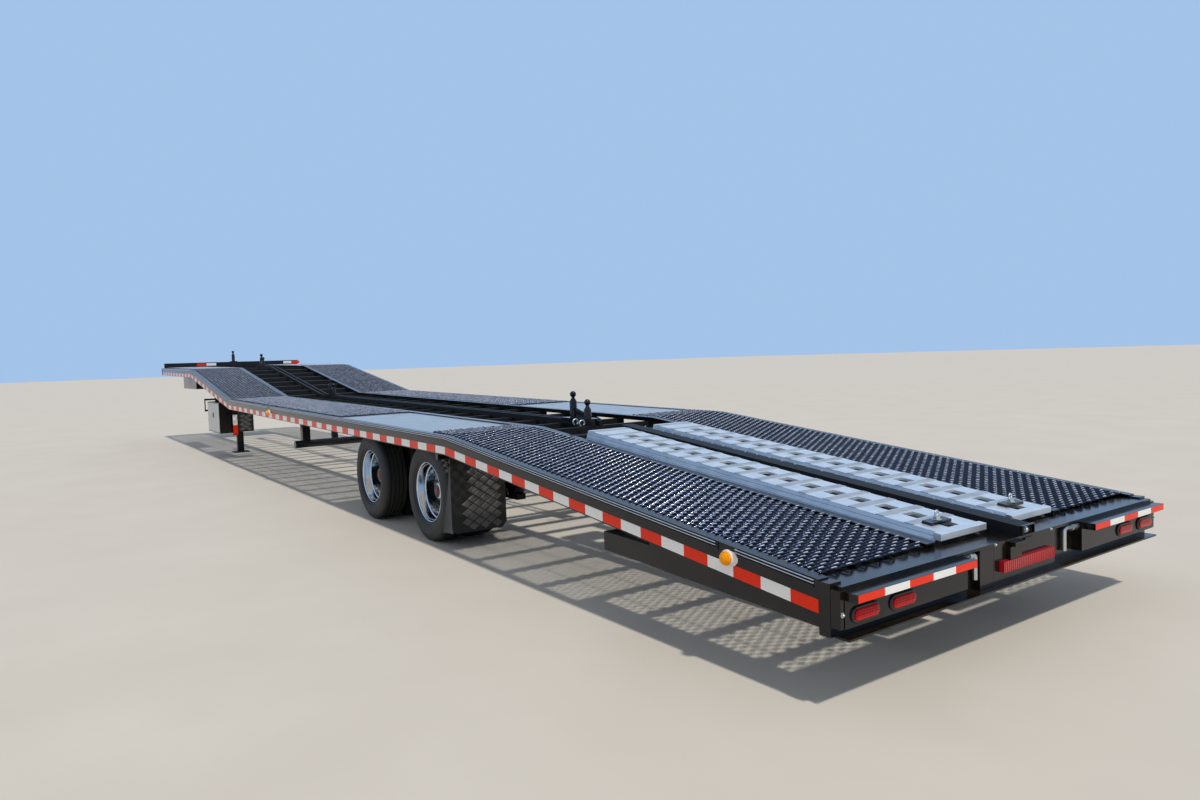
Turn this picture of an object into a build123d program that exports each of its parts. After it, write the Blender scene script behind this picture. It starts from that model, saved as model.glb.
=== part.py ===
import os
from math import cos, hypot, radians, sin
from build123d import *

# Open step deck car hauler: a low rear slope, a middle deck over two axles of twin wheels,
# a front slope and a raised front deck that carries the kingpin. Two grated treads run
# along it, with an open well between them where the loading ramps are stored.
# +X runs forward to the kingpin, +Y to the trailer's left, +Z up. The origin is on the
# ground, under the middle of the length and width. Runs are measured forward from the
# rear end of the side rails. All sizes are in millimetres.

# Deck line: runs between the bends of the side rails, and the height of the rail's top
rear_slope_run = 3234
mid_deck_run = 6860
front_slope_run = 2790
front_deck_run = 3050
tail_height = 487
rear_bend_height = 829
front_bend_height = 912
neck_height = 1335
nose_height = 1375

# Clearance between pieces that are bolted or welded face to face, and the lap of welded ones
seat = 0.3
weld_lap = 1

# Width over the side rails, and what stands past the rails at the two ends
overall_width = 2590
tail_overhang = 100
nose_overhang = 120

# Side rails: rolled channels with a beaded upper edge
rail_depth = 132
rail_wall = 8
rail_flange = 56
bead_depth = 8
bead_proud = 4
bead_drops = (3, 15, 27)
bead_setback = 20

# Treads: gratings between the side rails and the flat edge strips beside the centre well
well_half_width = 500
edge_strip_width = 60
edge_strip_wall = 6
edge_strip_top = 4
grating_thickness = 22
grating_proud = 10
grating_border = 30
diamond_pitch = 640
diamond_rows = 2
strand_width = 24
tread_start_run = 92
tread_bend_gap = 6
tread_nose_gap = 10
inner_stringer_side = 790
outer_stringer_side = 1010
stringer_thickness = 8

# Wheel covers: smooth plates over the twin wheels
cover_start_offset = 346
cover_end_offset = 580
cover_thickness = 6
wheel_well_margin = 140

# Crossmembers under the treads, and the two main beams that carry them
cross_pitch = 406
cross_width = 45
cross_depth = 76
cross_drop = 30
cross_wall = 6
beam_half_gauge = 520
beam_flange = 100
beam_flange_thickness = 12
beam_web = 10
beam_depth = 210
beam_tail_taper_run = 900
beam_tail_taper_depth = 40
neck_beam_depth = 80

# Axles and twin wheels
rear_axle_offset = 581
axle_spacing = 1195
tyre_radius = 366
tyre_width = 212
tyre_bulge_radius = 286
tyre_shoulder_radius = 338
twin_spacing = 250
tyre_inset = 103
wheel_corners = 24
axle_corners = 12
rim_radius = 224
rim_width = 170
rim_lip = 9
dish_middle_radius = 205
dish_middle_inset = 52
dish_floor_radius = 192
disc_thickness = 12
hub_radius = 82
hub_length = 150
drum_radius = 178
drum_wall = 14
axle_radius = 64
spindle_radius = 38
spindle_setback = 40
backing_setback = 12
backing_thickness = 8
axle_clearance = 6

# Suspension: hangers, trailing arms and air springs under the main beams
hanger_reach = 560
hanger_bottom_drop = 116
hanger_half_width = 45
hanger_top_half = 90
hanger_foot_half = 50
arm_half_width = 38
arm_depth = 44
arm_tail = 240
spring_setback = 160
spring_radius = 78
spring_waist = 64
spring_corners = 12
spring_plate = 8
spring_plate_half = 80
spring_seat_depth = 10

# Mud flaps and the bars that hold them
flap_behind_axle = 470
flap_thickness = 8
flap_bottom = 125
flap_inset = 87
flap_width = 428
flap_corner = 34
flap_bar_size = 40

# Cross tube hung under the middle deck
cross_tube_behind_bend = 794
cross_tube_height = 300
cross_tube_radius = 50
cross_tube_reach = 140
cross_tube_corners = 12

# Kingpin and its plate under the front deck
kingpin_setback = 760
kingpin_radius = 25.4
kingpin_collar = 36.5
kingpin_length = 84
kingpin_neck_top = 35
kingpin_neck = 36
kingpin_root = 2
coupler_length = 1100
coupler_width = 1000
coupler_thickness = 10

# Landing legs with their crank
leg_behind_neck = 754
leg_side = 750
leg_size = 110
leg_inner_size = 88
leg_foot_size = 230
leg_foot_thickness = 12
leg_split_height = 430
leg_top_gap = 30
leg_bracket_lap = 20
leg_shaft_drop = 140
leg_shaft_radius = 14
leg_brace_member = 3
leg_brace_size = 50
leg_brace_half_width = 15
crank_side = 1240
crank_drop = 170
crank_thickness = 12
crank_grip = 110

# Rear end: corner posts, header, centre plate, lamp boxes, tape shelves and bottom lip
post_length = 52
post_width = 62
tail_clearance = 288
header_front = 80
centre_plate_rear = 30
centre_plate_half_width = 260
cap_drop = 8
cap_thickness = 12
cap_rear = 37
lamp_box_rear = 47
lamp_box_inner_side = 487
lamp_box_inset = 27
lamp_box_bottom = 326
shelf_inner_gap = 18
shelf_outer_gap = 3
shelf_height = 32
shelf_top = 462
lip_rear = 65
lip_bottom = 284
lip_thickness = 8

# Lamps: ovals and a light bar on the tail, round markers on the side rails
outer_lamp_inset = 140
inner_lamp_inset = 365
lamp_height = 370
lamp_length = 165
lamp_width = 57
lamp_thickness = 14
lamp_chamfer = 17
light_bar_half_width = 215
light_bar_bottom = 345
light_bar_top = 392
light_bar_thickness = 22
marker_radius = 30
marker_depth = 35
marker_shoulder_depth = 21
marker_shoulder_radius = 27
marker_tip_radius = 14
marker_gap = 25
marker_corners = 12
rear_marker_run = 520
rear_marker_drop = 54
front_marker_behind_bend = 2174
front_marker_drop = 70

# Locking pins in the bays beside the lamp boxes
pin_radius = 12
pin_corners = 8
pin_length = 107
pin_height = 446
pin_handle = 106
pin_rear = 14

# Side boxes under the tail
under_box_width = 117
under_box_rail_gap = 8
under_box_split_run = 1120
under_box_front_run = 1490
under_box_split_bottom = 330
short_box_rear_bottom = 334
short_box_rear_top = 430
short_box_front_bottom = 345
short_box_front_top = 440

# Stored loading ramps: flared webs and a row of square holes
ramp_width = 360
ramp_top_width = 312
ramp_inner_side = 108
ramp_start_run = 92
ramp_end_run = 2750
ramp_rear_rise = 32
ramp_front_rise = 48
ramp_wall = 5
ramp_nose_length = 30
ramp_nose_depth = 30
ramp_hole_size = 84
ramp_hole_pitch = 152.4
ramp_hole_count = 16
ramp_first_hole = 86

# Centre rails that guide the winch line, and the ball posts on them
centre_rail_half_width = 52
centre_rail_slot = 40
centre_rail_rise = 8
tail_rail_rear = 35
tail_rail_rise = 38
tail_rail_end_gap = 334
centre_rail_bend_gap = 40
centre_rail_past_neck = 1000
ball_radius = 25
ball_seat = 20
ball_girth = 22
ball_girth_offset = 13
ball_neck_radius = 13
post_radius = 30
post_corners = 8
post_shoulder = 58
post_neck_foot = 30
tall_post_height = 170
short_post_height = 112
post_gusset_thickness = 12
post_gusset_drop = 70
post_plate = 12
post_plate_half_width = 70
nose_post_setback = 80

# Nose bar across the rails' front ends
front_bar_rise = 90
front_bar_setback = 40
front_bar_inset = 45

# Tool box under the left tread, on two straps, and a closed box under the neck
tool_box_behind_leg = 130
tool_box_length = 850
tool_box_inset = 75
tool_box_width = 230
tool_box_bottom = 383
tool_box_top = 833
tool_strap_half = 20
tool_strap_inset = 90
tool_strap_width = 50
tool_strap_members = (3, 4)
neck_box_start_gap = 16
neck_box_length = 1200
neck_box_inset = 80
neck_box_width = 210
neck_box_bottom = 1010

# Guard behind the left leg: a post and a rubber flap beside it
guard_member = 2
guard_post_thickness = 20
guard_post_inset = 240
guard_post_width = 70
guard_post_bottom = 350
guard_flap_width = 220
guard_flap_bottom = 395
guard_flap_top = 690
guard_bar_depth = 30

# Air tanks, each under one crossmember ahead of the axles
tank_radius = 120
tank_half_length = 420
tank_corners = 20
tank_members = (7, 8)

overall_length = (
    tail_overhang + rear_slope_run + mid_deck_run + front_slope_run + front_deck_run + nose_overhang
)
rail_rear = tail_overhang - overall_length / 2
half_width = overall_width / 2
rail_face = half_width - bead_proud
rail_inside = rail_face - rail_wall
rear_bend_run = rear_slope_run
front_bend_run = rear_bend_run + mid_deck_run
neck_run = front_bend_run + front_slope_run
nose_run = neck_run + front_deck_run
rear_axle_run = rear_bend_run + rear_axle_offset
front_axle_run = rear_axle_run + axle_spacing
leg_run = neck_run - leg_behind_neck
tread_seat = grating_thickness - grating_proud + seat
tread_inner_side = well_half_width + edge_strip_width + seat
tread_outer_side = rail_face - rail_flange - seat

# Columns: run of the bend, height of the rail's top there
deck_line = (
    (0, tail_height),
    (rear_bend_run, rear_bend_height),
    (front_bend_run, front_bend_height),
    (neck_run, neck_height),
    (nose_run, nose_height),
)
bend_runs = [run for run, height in deck_line[1:-1]]


def at(run):
    """X of a point that lies a run forward of the rails' rear end."""
    return rail_rear + run


def deck(run):
    """Height of the rails' top edge at a run, carried on straight past the ends."""
    spans = list(zip(deck_line, deck_line[1:]))
    inside = [span for span in spans if run <= span[1][0]]
    (run_a, height_a), (run_b, height_b) = inside[0] if inside else spans[-1]
    return height_a + (run - run_a) * (height_b - height_a) / (run_b - run_a)


def straight_spans(run_a, run_b):
    """Split a stretch at the deck's bends, where the real lengths are welded together."""
    ends = [run_a] + [bend for bend in bend_runs if run_a < bend < run_b] + [run_b]
    return [(low + seat / 2, high - seat / 2) for low, high in zip(ends, ends[1:])]


def side_plate(points, side_low, side_high, mode=Mode.ADD):
    """Add a plate with an outline in X and Z between two sides."""
    with BuildSketch(Plane.XZ.offset(-side_high)) as outline:
        with BuildLine():
            Polyline(*points, close=True)
        make_face()
    extrude(outline.sketch, amount=side_high - side_low, dir=(0, -1, 0), mode=mode)


def deck_plate(points, side_low, side_high, mode=Mode.ADD):
    """Add a plate from (run, height above the rails' top) points between two sides."""
    side_plate([(at(run), deck(run) + above) for run, above in points], side_low, side_high, mode)


def band(run_a, run_b, above, depth, side_low, side_high, mode=Mode.ADD):
    """Add a straight strip along the deck line, its top a distance above the rails' top."""
    corners = [(run_a, above), (run_b, above), (run_b, above - depth), (run_a, above - depth)]
    deck_plate(corners, side_low, side_high, mode)


def block(x_low, x_high, y_low, y_high, z_low, z_high, mode=Mode.ADD):
    """Add a box between limits on each axis."""
    middle = ((x_low + x_high) / 2, (y_low + y_high) / 2, (z_low + z_high) / 2)
    with Locations(middle):
        Box(x_high - x_low, y_high - y_low, z_high - z_low, mode=mode)


def turned(loop, corners, point):
    """Add a many-sided turned solid. The loop closes on itself and holds (place on the axis, radius)
    pairs, and point gives the position of such a pair at an angle."""
    angles = [radians(360 * index / corners) for index in range(corners)]
    faces = []
    for start, end in zip(angles, angles[1:] + angles[:1]):
        for (place_a, radius_a), (place_b, radius_b) in zip(loop, loop[1:] + loop[:1]):
            outline = [point(place_a, radius_a, start), point(place_b, radius_b, start)]
            if radius_b:
                outline.append(point(place_b, radius_b, end))
            if radius_a:
                outline.append(point(place_a, radius_a, end))
            if len(outline) > 2:
                faces.append(Face(Wire.make_polygon(outline)))
    add(Solid(Shell(faces)))


def on_axis(sections):
    """Close a row of (place, radius) sections into a loop by its two ends on the axis."""
    return [(sections[0][0], 0)] + list(sections) + [(sections[-1][0], 0)]


def across(loop, run, height, corners):
    """Add a solid turned about a line across the trailer, from (side, radius) pairs."""
    turned(loop, corners, lambda side, radius, angle: (
        at(run) + radius * cos(angle), side, height + radius * sin(angle)))


def upright(sections, run, side, corners):
    """Add a solid turned about an upright line, from (height, radius) pairs."""
    turned(on_axis(sections), corners, lambda height, radius, angle: (
        at(run) + radius * cos(angle), side + radius * sin(angle), height))


def mirrored(side, low, high):
    """The limits of a Y range, on the left for side 1 and on the right for side -1."""
    return (low, high) if side > 0 else (-high, -low)


def finish(piece, name):
    """Label a finished piece and write its file."""
    piece.part.label = name
    export_step(piece.part, f"parts/{name}.step")


os.makedirs("parts", exist_ok=True)
sides = (("left", 1), ("right", -1))

# Side rails: straight channels welded at the bends, three beads along the upper edge
front_marker_run = front_bend_run - front_marker_behind_bend
rail_start = post_length + seat
for name, side in sides:
    with BuildPart() as rail:
        flanges = mirrored(side, rail_face - rail_flange, rail_inside)
        web = mirrored(side, rail_inside, rail_face)
        beads = mirrored(side, rail_face, half_width)
        for run_a, run_b in straight_spans(rail_start, nose_run):
            band(run_a, run_b, 0, rail_depth, *web)
            band(run_a, run_b, 0, rail_wall, *flanges)
            band(run_a, run_b, rail_wall - rail_depth, rail_wall, *flanges)
            for drop in bead_drops:
                band(max(run_a, rail_start + bead_setback), run_b, -drop, bead_depth, *beads)
        window = marker_radius + marker_gap
        band(rear_marker_run - window, rear_marker_run + window, 0, rail_depth, *beads, Mode.SUBTRACT)
    finish(rail, f"side_rail_{name}")

# Main beams: I-sections, level below at the tail and shallower up the neck
beam_top = -cross_drop - cross_depth - seat
beam_start_run = header_front + seat
tail_beam_depth = deck(beam_start_run) + beam_top - tail_clearance - lip_thickness
# Columns: run of a station, depth of the beam there
beam_stations = (
    (beam_start_run, tail_beam_depth),
    (rear_bend_run - beam_tail_taper_run, beam_depth + beam_tail_taper_depth),
    (rear_bend_run, beam_depth),
    (front_bend_run, beam_depth),
    (neck_run, neck_beam_depth),
    (nose_run, neck_beam_depth),
)


def beam_depth_at(run):
    """Depth of the main beams at a run."""
    for (run_a, depth_a), (run_b, depth_b) in zip(beam_stations, beam_stations[1:]):
        if run <= run_b:
            return depth_a + (run - run_a) * (depth_b - depth_a) / (run_b - run_a)
    return neck_beam_depth


def under_beam(run):
    """Height of a piece's top that is fixed under a main beam at a run."""
    return deck(run) + beam_top - beam_depth_at(run) - seat


for name, side in sides:
    with BuildPart() as beam:
        web = mirrored(side, beam_half_gauge - beam_web / 2, beam_half_gauge + beam_web / 2)
        flange = mirrored(side, beam_half_gauge - beam_flange / 2, beam_half_gauge + beam_flange / 2)
        for run_a, run_b in straight_spans(beam_start_run, nose_run):
            between = [run for run, depth in beam_stations if run_a < run < run_b]
            stations = [run_a] + between + [run_b]
            top = [(run, beam_top) for run in stations]
            bottom = [(run, beam_top - beam_depth_at(run)) for run in stations]
            top_inner = [(run, above - beam_flange_thickness) for run, above in top]
            bottom_inner = [(run, above + beam_flange_thickness) for run, above in bottom]
            deck_plate(top + bottom[::-1], *web)
            deck_plate(top + top_inner[::-1], *flange)
            deck_plate(bottom + bottom_inner[::-1], *flange)
    finish(beam, f"main_beam_{name}")

# Crossmembers: channels from rail to rail, cut short over the wheels.
# Columns: section of the deck, run of its first crossmember, run of its last
cross_sections = (
    ("rear", 250, rear_bend_run - 234),
    ("mid", rear_bend_run + 66, front_bend_run - 144),
    ("slope", front_bend_run + 206, neck_run - 184),
    ("front", neck_run + 166, nose_run - 184),
)
wheel_reach = tyre_radius + wheel_well_margin
wheel_well_runs = (rear_axle_run - wheel_reach, front_axle_run + wheel_reach)
member_runs = {}
for name, first_run, last_run in cross_sections:
    bays = round((last_run - first_run) / cross_pitch)
    member_runs[name] = [first_run + (last_run - first_run) * index / bays for index in range(bays + 1)]
    with BuildPart() as members:
        for run in member_runs[name]:
            over_wheels = wheel_well_runs[0] < run < wheel_well_runs[1]
            reach = beam_half_gauge + beam_flange / 2 if over_wheels else rail_inside - seat
            back = run - cross_width / 2
            open_side = run + cross_width / 2
            top = -cross_drop
            bottom = -cross_drop - cross_depth
            channel = [(back, top), (open_side, top), (open_side, top - cross_wall),
                       (back + cross_wall, top - cross_wall), (back + cross_wall, bottom + cross_wall),
                       (open_side, bottom + cross_wall), (open_side, bottom), (back, bottom)]
            deck_plate(channel, -reach, reach)
    finish(members, f"crossmembers_{name}")


def under_cross(run):
    """Height of a piece's top that is fixed under the crossmembers at a run."""
    return deck(run) - cross_drop - cross_depth - seat


# Tread rails: a folded edge strip beside the well, and two flat stringers under the grating
strip_depth = edge_strip_top + cross_drop - seat
stringer_depth = cross_drop - seat - tread_seat
for name, side in sides:
    with BuildPart() as tread_rails:
        strip = mirrored(side, well_half_width, well_half_width + edge_strip_width)
        fold = mirrored(side, well_half_width, well_half_width + edge_strip_wall)
        for run_a, run_b in straight_spans(tread_start_run, nose_run - tread_nose_gap):
            band(run_a, run_b, edge_strip_top, edge_strip_wall, *strip)
            band(run_a, run_b, edge_strip_top, strip_depth, *fold)
            for stringer_side in (inner_stringer_side, outer_stringer_side):
                stringer = mirrored(side, stringer_side, stringer_side + stringer_thickness)
                band(run_a, run_b, -tread_seat, stringer_depth, *stringer)
    finish(tread_rails, f"tread_rails_{name}")

# Gratings: expanded metal, here with few large diamonds inside a plain border
cover_start_run = rear_bend_run + cover_start_offset
cover_end_run = front_axle_run + cover_end_offset


def grating(first_run, last_run, low, high):
    """Add one straight sheet of grating, every other row of diamonds set over by half."""
    band(first_run, last_run, grating_proud, grating_thickness, low, high)
    inside_length = last_run - first_run - 2 * grating_border
    cells = max(round(inside_length / diamond_pitch), 1)
    half_long = inside_length / cells / 2
    half_wide = (high - low - 2 * grating_border) / diamond_rows / 2
    shrink = 1 - strand_width * hypot(half_long, half_wide) / (2 * half_long * half_wide)
    long, wide = half_long * shrink, half_wide * shrink
    middle = (at((first_run + last_run) / 2), (low + high) / 2)
    with BuildSketch(Plane.XY) as holes:
        for along, across in ((cells, diamond_rows), (cells - 1, diamond_rows - 1)):
            if along:
                with Locations(middle):
                    with GridLocations(2 * half_long, 2 * half_wide, along, across):
                        Polygon((-long, 0), (0, -wide), (long, 0), (0, wide))
    extrude(holes.sketch, amount=deck(last_run) + 2 * grating_thickness, mode=Mode.SUBTRACT)


# Columns: section of the deck, first and last run of each of its sheets
grating_sections = (
    ("rear", ((tread_start_run, rear_bend_run - tread_bend_gap),
              (rear_bend_run + tread_bend_gap, cover_start_run - tread_bend_gap))),
    ("mid", ((cover_end_run + tread_bend_gap, front_bend_run - tread_bend_gap),)),
    ("slope", ((front_bend_run + tread_bend_gap, neck_run - tread_bend_gap),)),
    ("front", ((neck_run + tread_bend_gap, nose_run - tread_nose_gap),)),
)
for name, sheets in grating_sections:
    for side_name, side in sides:
        with BuildPart() as treads:
            for first_run, last_run in sheets:
                grating(first_run, last_run, *mirrored(side, tread_inner_side, tread_outer_side))
        finish(treads, f"grating_{name}_{side_name}")

# Wheel covers: smooth plates set in the treads over the twin wheels
for side_name, side in sides:
    with BuildPart() as cover:
        low, high = mirrored(side, tread_inner_side, tread_outer_side)
        band(cover_start_run, cover_end_run, cover_thickness + seat - tread_seat, cover_thickness, low, high)
    finish(cover, f"wheel_cover_{side_name}")

# Axles: a tube across the trailer with a brake backing plate and a round spindle at each end
axle_runs = (("front", front_axle_run), ("rear", rear_axle_run))
outer_tyre_side = half_width - tyre_inset - tyre_width / 2
inner_tyre_side = outer_tyre_side - twin_spacing
twin_middle = (outer_tyre_side + inner_tyre_side) / 2
backing_side = inner_tyre_side - rim_width / 2 - backing_setback
spindle_end = twin_middle + hub_length - spindle_setback
drum_bore = drum_radius - drum_wall
left_end = [
    (backing_side - backing_thickness, axle_radius),
    (backing_side - backing_thickness, drum_bore),
    (backing_side, drum_bore),
    (backing_side, spindle_radius),
    (spindle_end, spindle_radius),
]
right_end = [(-side, radius) for side, radius in reversed(left_end)]
for name, run in axle_runs:
    with BuildPart() as axle:
        across(on_axis(right_end + left_end), run, tyre_radius, axle_corners)
    finish(axle, f"axle_{name}")

# Twin wheels: tyres, and rims with hub and brake drum in one piece.
# Columns: share of the tyre's width out from its middle, radius; the last two are the beads
tyre_profile = (
    (-0.50, tyre_bulge_radius),
    (-0.47, tyre_shoulder_radius),
    (-0.36, tyre_radius),
    (0.36, tyre_radius),
    (0.47, tyre_shoulder_radius),
    (0.50, tyre_bulge_radius),
    (0.39, rim_radius + seat),
    (-0.39, rim_radius + seat),
)
disc_in = twin_middle - disc_thickness
disc_out = twin_middle + disc_thickness
hub_end = twin_middle + hub_length
rim_low = inner_tyre_side - rim_width / 2
rim_high = outer_tyre_side + rim_width / 2
lip_radius = rim_radius - rim_lip
bore = (spindle_radius + seat) / cos(radians(180 / wheel_corners))
bore_end = spindle_end + axle_clearance
drum_end = backing_side + axle_clearance
# Columns: side, radius, from the outer lip down the dish and hub, then back by the drum
rim_profile = (
    (rim_high, rim_radius),
    (rim_high, lip_radius),
    (rim_high - dish_middle_inset, dish_middle_radius),
    (disc_out, dish_floor_radius),
    (disc_out, hub_radius),
    (hub_end, hub_radius),
    (hub_end, 0),
    (bore_end, 0),
    (bore_end, bore),
    (disc_in, bore),
    (disc_in, drum_bore),
    (drum_end, drum_bore),
    (drum_end, drum_radius),
    (disc_in, drum_radius),
    (disc_in, dish_floor_radius),
    (rim_low, lip_radius),
    (rim_low, rim_radius),
)
for axle_name, run in axle_runs:
    for side_name, side in sides:
        with BuildPart() as tyres:
            for middle in (outer_tyre_side, inner_tyre_side):
                loop = [(side * (middle + share * tyre_width), radius) for share, radius in tyre_profile]
                across(loop, run, tyre_radius, wheel_corners)
        finish(tyres, f"tyres_{axle_name}_{side_name}")

        with BuildPart() as rims:
            loop = [(side * out, radius) for out, radius in rim_profile]
            across(loop, run, tyre_radius, wheel_corners)
        finish(rims, f"rims_{axle_name}_{side_name}")

# Suspension: hangers under the main beams, trailing arms under the axles and air springs
hanger_bottom = tyre_radius - hanger_bottom_drop
arm_top = tyre_radius - axle_radius - seat
with BuildPart() as suspension:
    for axle_name, run in axle_runs:
        for side_name, side in sides:
            hanger_sides = mirrored(side, beam_half_gauge - hanger_half_width,
                                    beam_half_gauge + hanger_half_width)
            hanger_run = run + hanger_reach
            hanger_top = [(at(hanger_run + offset), under_beam(hanger_run + offset))
                          for offset in (-hanger_top_half, hanger_top_half)]
            hanger_foot = [(at(hanger_run + offset), hanger_bottom)
                           for offset in (hanger_foot_half, -hanger_foot_half)]
            side_plate(hanger_top + hanger_foot, *hanger_sides)
            arm_sides = mirrored(side, beam_half_gauge - arm_half_width, beam_half_gauge + arm_half_width)
            block(at(run - arm_tail), at(hanger_run), *arm_sides, arm_top - arm_depth, arm_top)
            spring_run = run - spring_setback
            plate_top = [(at(spring_run + offset), under_beam(spring_run + offset))
                         for offset in (-spring_plate_half, spring_plate_half)]
            plate_low = [(x, height - spring_plate) for x, height in reversed(plate_top)]
            side_plate(plate_top + plate_low, *hanger_sides)
            low_end = arm_top - spring_seat_depth
            high_end = under_beam(spring_run) - spring_plate / 2
            lobe = (high_end - low_end) / 4
            bag = [(low_end, spring_waist), (low_end + lobe, spring_radius),
                   (low_end + 2 * lobe, spring_waist), (low_end + 3 * lobe, spring_radius),
                   (high_end, spring_waist)]
            upright(bag, spring_run, side * beam_half_gauge, spring_corners)
finish(suspension, "suspension")

# Mud flaps: a rubber sheet behind each rear pair of wheels, on a bar under the rail
flap_run = rear_axle_run - flap_behind_axle
flap_bar_run = flap_run + flap_thickness + seat
flap_bar_top = min(deck(flap_run), deck(flap_bar_run + flap_bar_size)) - rail_depth - seat
flap_outer_side = half_width - flap_inset
flap_inner_side = flap_outer_side - flap_width
for side_name, side in sides:
    with BuildPart() as flap:
        with BuildSketch(Plane.YZ.offset(at(flap_run))) as outline:
            with BuildLine():
                Polyline((side * flap_inner_side, flap_bar_top),
                         (side * flap_outer_side, flap_bar_top),
                         (side * flap_outer_side, flap_bottom + flap_corner),
                         (side * (flap_outer_side - flap_corner), flap_bottom),
                         (side * (flap_inner_side + flap_corner), flap_bottom),
                         (side * flap_inner_side, flap_bottom + flap_corner), close=True)
            make_face()
        extrude(outline.sketch, amount=flap_thickness, dir=(1, 0, 0))
    finish(flap, f"mud_flap_{side_name}")
with BuildPart() as flap_bars:
    for side_name, side in sides:
        low, high = mirrored(side, beam_half_gauge + beam_web / 2 + seat, rail_face)
        block(at(flap_bar_run), at(flap_bar_run + flap_bar_size), low, high,
              flap_bar_top - flap_bar_size, flap_bar_top)
finish(flap_bars, "flap_bars")

# Cross tube: a round tube on two hangers under the main beams
cross_tube_run = front_bend_run - cross_tube_behind_bend
with BuildPart() as cross_tube:
    reach = beam_half_gauge + cross_tube_reach
    across(on_axis([(-reach, cross_tube_radius), (reach, cross_tube_radius)]), cross_tube_run,
           cross_tube_height, cross_tube_corners)
    for side_name, side in sides:
        low, high = mirrored(side, beam_half_gauge - beam_flange / 2, beam_half_gauge + beam_flange / 2)
        hanger_ends = (cross_tube_run - cross_tube_radius, cross_tube_run + cross_tube_radius)
        top = [(at(run), under_beam(run)) for run in hanger_ends]
        bottom = [(at(run), cross_tube_height) for run in reversed(hanger_ends)]
        side_plate(top + bottom, low, high)
finish(cross_tube, "cross_tube")

# Kingpin and the plate that rests on the tractor's fifth wheel
kingpin_run = nose_run - kingpin_setback
coupler_above = beam_top - neck_beam_depth - seat
with BuildPart() as coupler:
    band(kingpin_run - coupler_length / 2, kingpin_run + coupler_length / 2, coupler_above,
         coupler_thickness, -coupler_width / 2, coupler_width / 2)
    fall = (nose_height - neck_height) / front_deck_run
    plate_face = deck(kingpin_run) + coupler_above - coupler_thickness
    pin_plane = Plane(origin=(at(kingpin_run), 0, plate_face), x_dir=(1, 0, fall), z_dir=(-fall, 0, 1))
    with BuildSketch(pin_plane.offset(kingpin_root)) as pin:
        Circle(kingpin_collar)
    extrude(pin.sketch, amount=-kingpin_length - kingpin_root)
    with BuildSketch(pin_plane.offset(-kingpin_neck_top)) as groove:
        Circle(kingpin_collar * 2)
        Circle(kingpin_radius, mode=Mode.SUBTRACT)
    extrude(groove.sketch, amount=-kingpin_neck, mode=Mode.SUBTRACT)
finish(coupler, "kingpin_plate")

# Landing legs: an outer tube with the drawn leg in it, a foot plate, a bracket to the main
# beam, a brace to a crossmember, the cross shaft that turns both legs, and its crank
leg_top = deck(leg_run) - cross_drop - cross_depth - leg_top_gap
shaft_height = under_beam(leg_run) - leg_shaft_drop
brace_run = member_runs["slope"][leg_brace_member]
with BuildPart() as legs:
    for side_name, side in sides:
        # Columns: width of the stage, height of its lower end, height of its upper end
        leg_stages = (
            (leg_foot_size, 0, leg_foot_thickness),
            (leg_inner_size, leg_foot_thickness, leg_split_height),
            (leg_size, leg_split_height, leg_top),
        )
        for width, low_end, high_end in leg_stages:
            with Locations((at(leg_run), side * leg_side, (low_end + high_end) / 2)):
                Box(width, width, high_end - low_end)
        low, high = mirrored(side, beam_half_gauge + beam_flange / 2 + seat, leg_side)
        block(at(leg_run) - leg_size / 2, at(leg_run) + leg_size / 2, low, high,
              under_beam(leg_run) - leg_bracket_lap, leg_top)
        brace_ends = (brace_run - cross_width / 2, brace_run + cross_width / 2)
        brace_top = [(at(run), under_cross(run)) for run in brace_ends]
        brace_foot = [(at(leg_run), leg_split_height + leg_brace_size), (at(leg_run), leg_split_height)]
        low, high = mirrored(side, leg_side - leg_brace_half_width, leg_side + leg_brace_half_width)
        side_plate(brace_top + brace_foot, low, high)
    shaft = [(-leg_side, leg_shaft_radius), (crank_side, leg_shaft_radius)]
    across(on_axis(shaft), leg_run, shaft_height, pin_corners)
    block(at(leg_run) - leg_shaft_radius, at(leg_run) + leg_shaft_radius, crank_side - crank_thickness,
          crank_side, shaft_height - crank_drop, shaft_height + leg_shaft_radius)
    grip = [(crank_side - crank_grip, leg_shaft_radius), (crank_side, leg_shaft_radius)]
    across(on_axis(grip), leg_run, shaft_height - crank_drop, pin_corners)
finish(legs, "landing_legs")

# Rear end: corner posts joined by the header beam, its centre plate, cap and bottom lip
header_top = tail_height - cap_drop - cap_thickness
cap_top = header_top + cap_thickness
lip_top = lip_bottom + lip_thickness
between_posts = rail_face - post_width + weld_lap
lamp_box_outer_side = half_width - lamp_box_inset
with BuildPart() as tail:
    for side_name, side in sides:
        low, high = mirrored(side, rail_face - post_width, rail_face)
        block(at(0), at(post_length), low, high, tail_clearance, tail_height)
    # Columns: rear end, front end, half width, lower side, upper side
    tail_blocks = (
        (0, header_front, between_posts, tail_clearance, header_top),
        (-centre_plate_rear, weld_lap, centre_plate_half_width, tail_clearance, header_top),
        (-cap_rear, header_front, between_posts, header_top, cap_top),
        (-cap_rear, weld_lap, lamp_box_outer_side, header_top, cap_top),
        (-lip_rear, weld_lap, lamp_box_outer_side, lip_bottom, lip_top),
        (0, header_front, between_posts, lip_bottom, lip_top),
    )
    for rear, front, reach, low, high in tail_blocks:
        block(at(rear), at(front), -reach, reach, low, high)
finish(tail, "tail_header")

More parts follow.
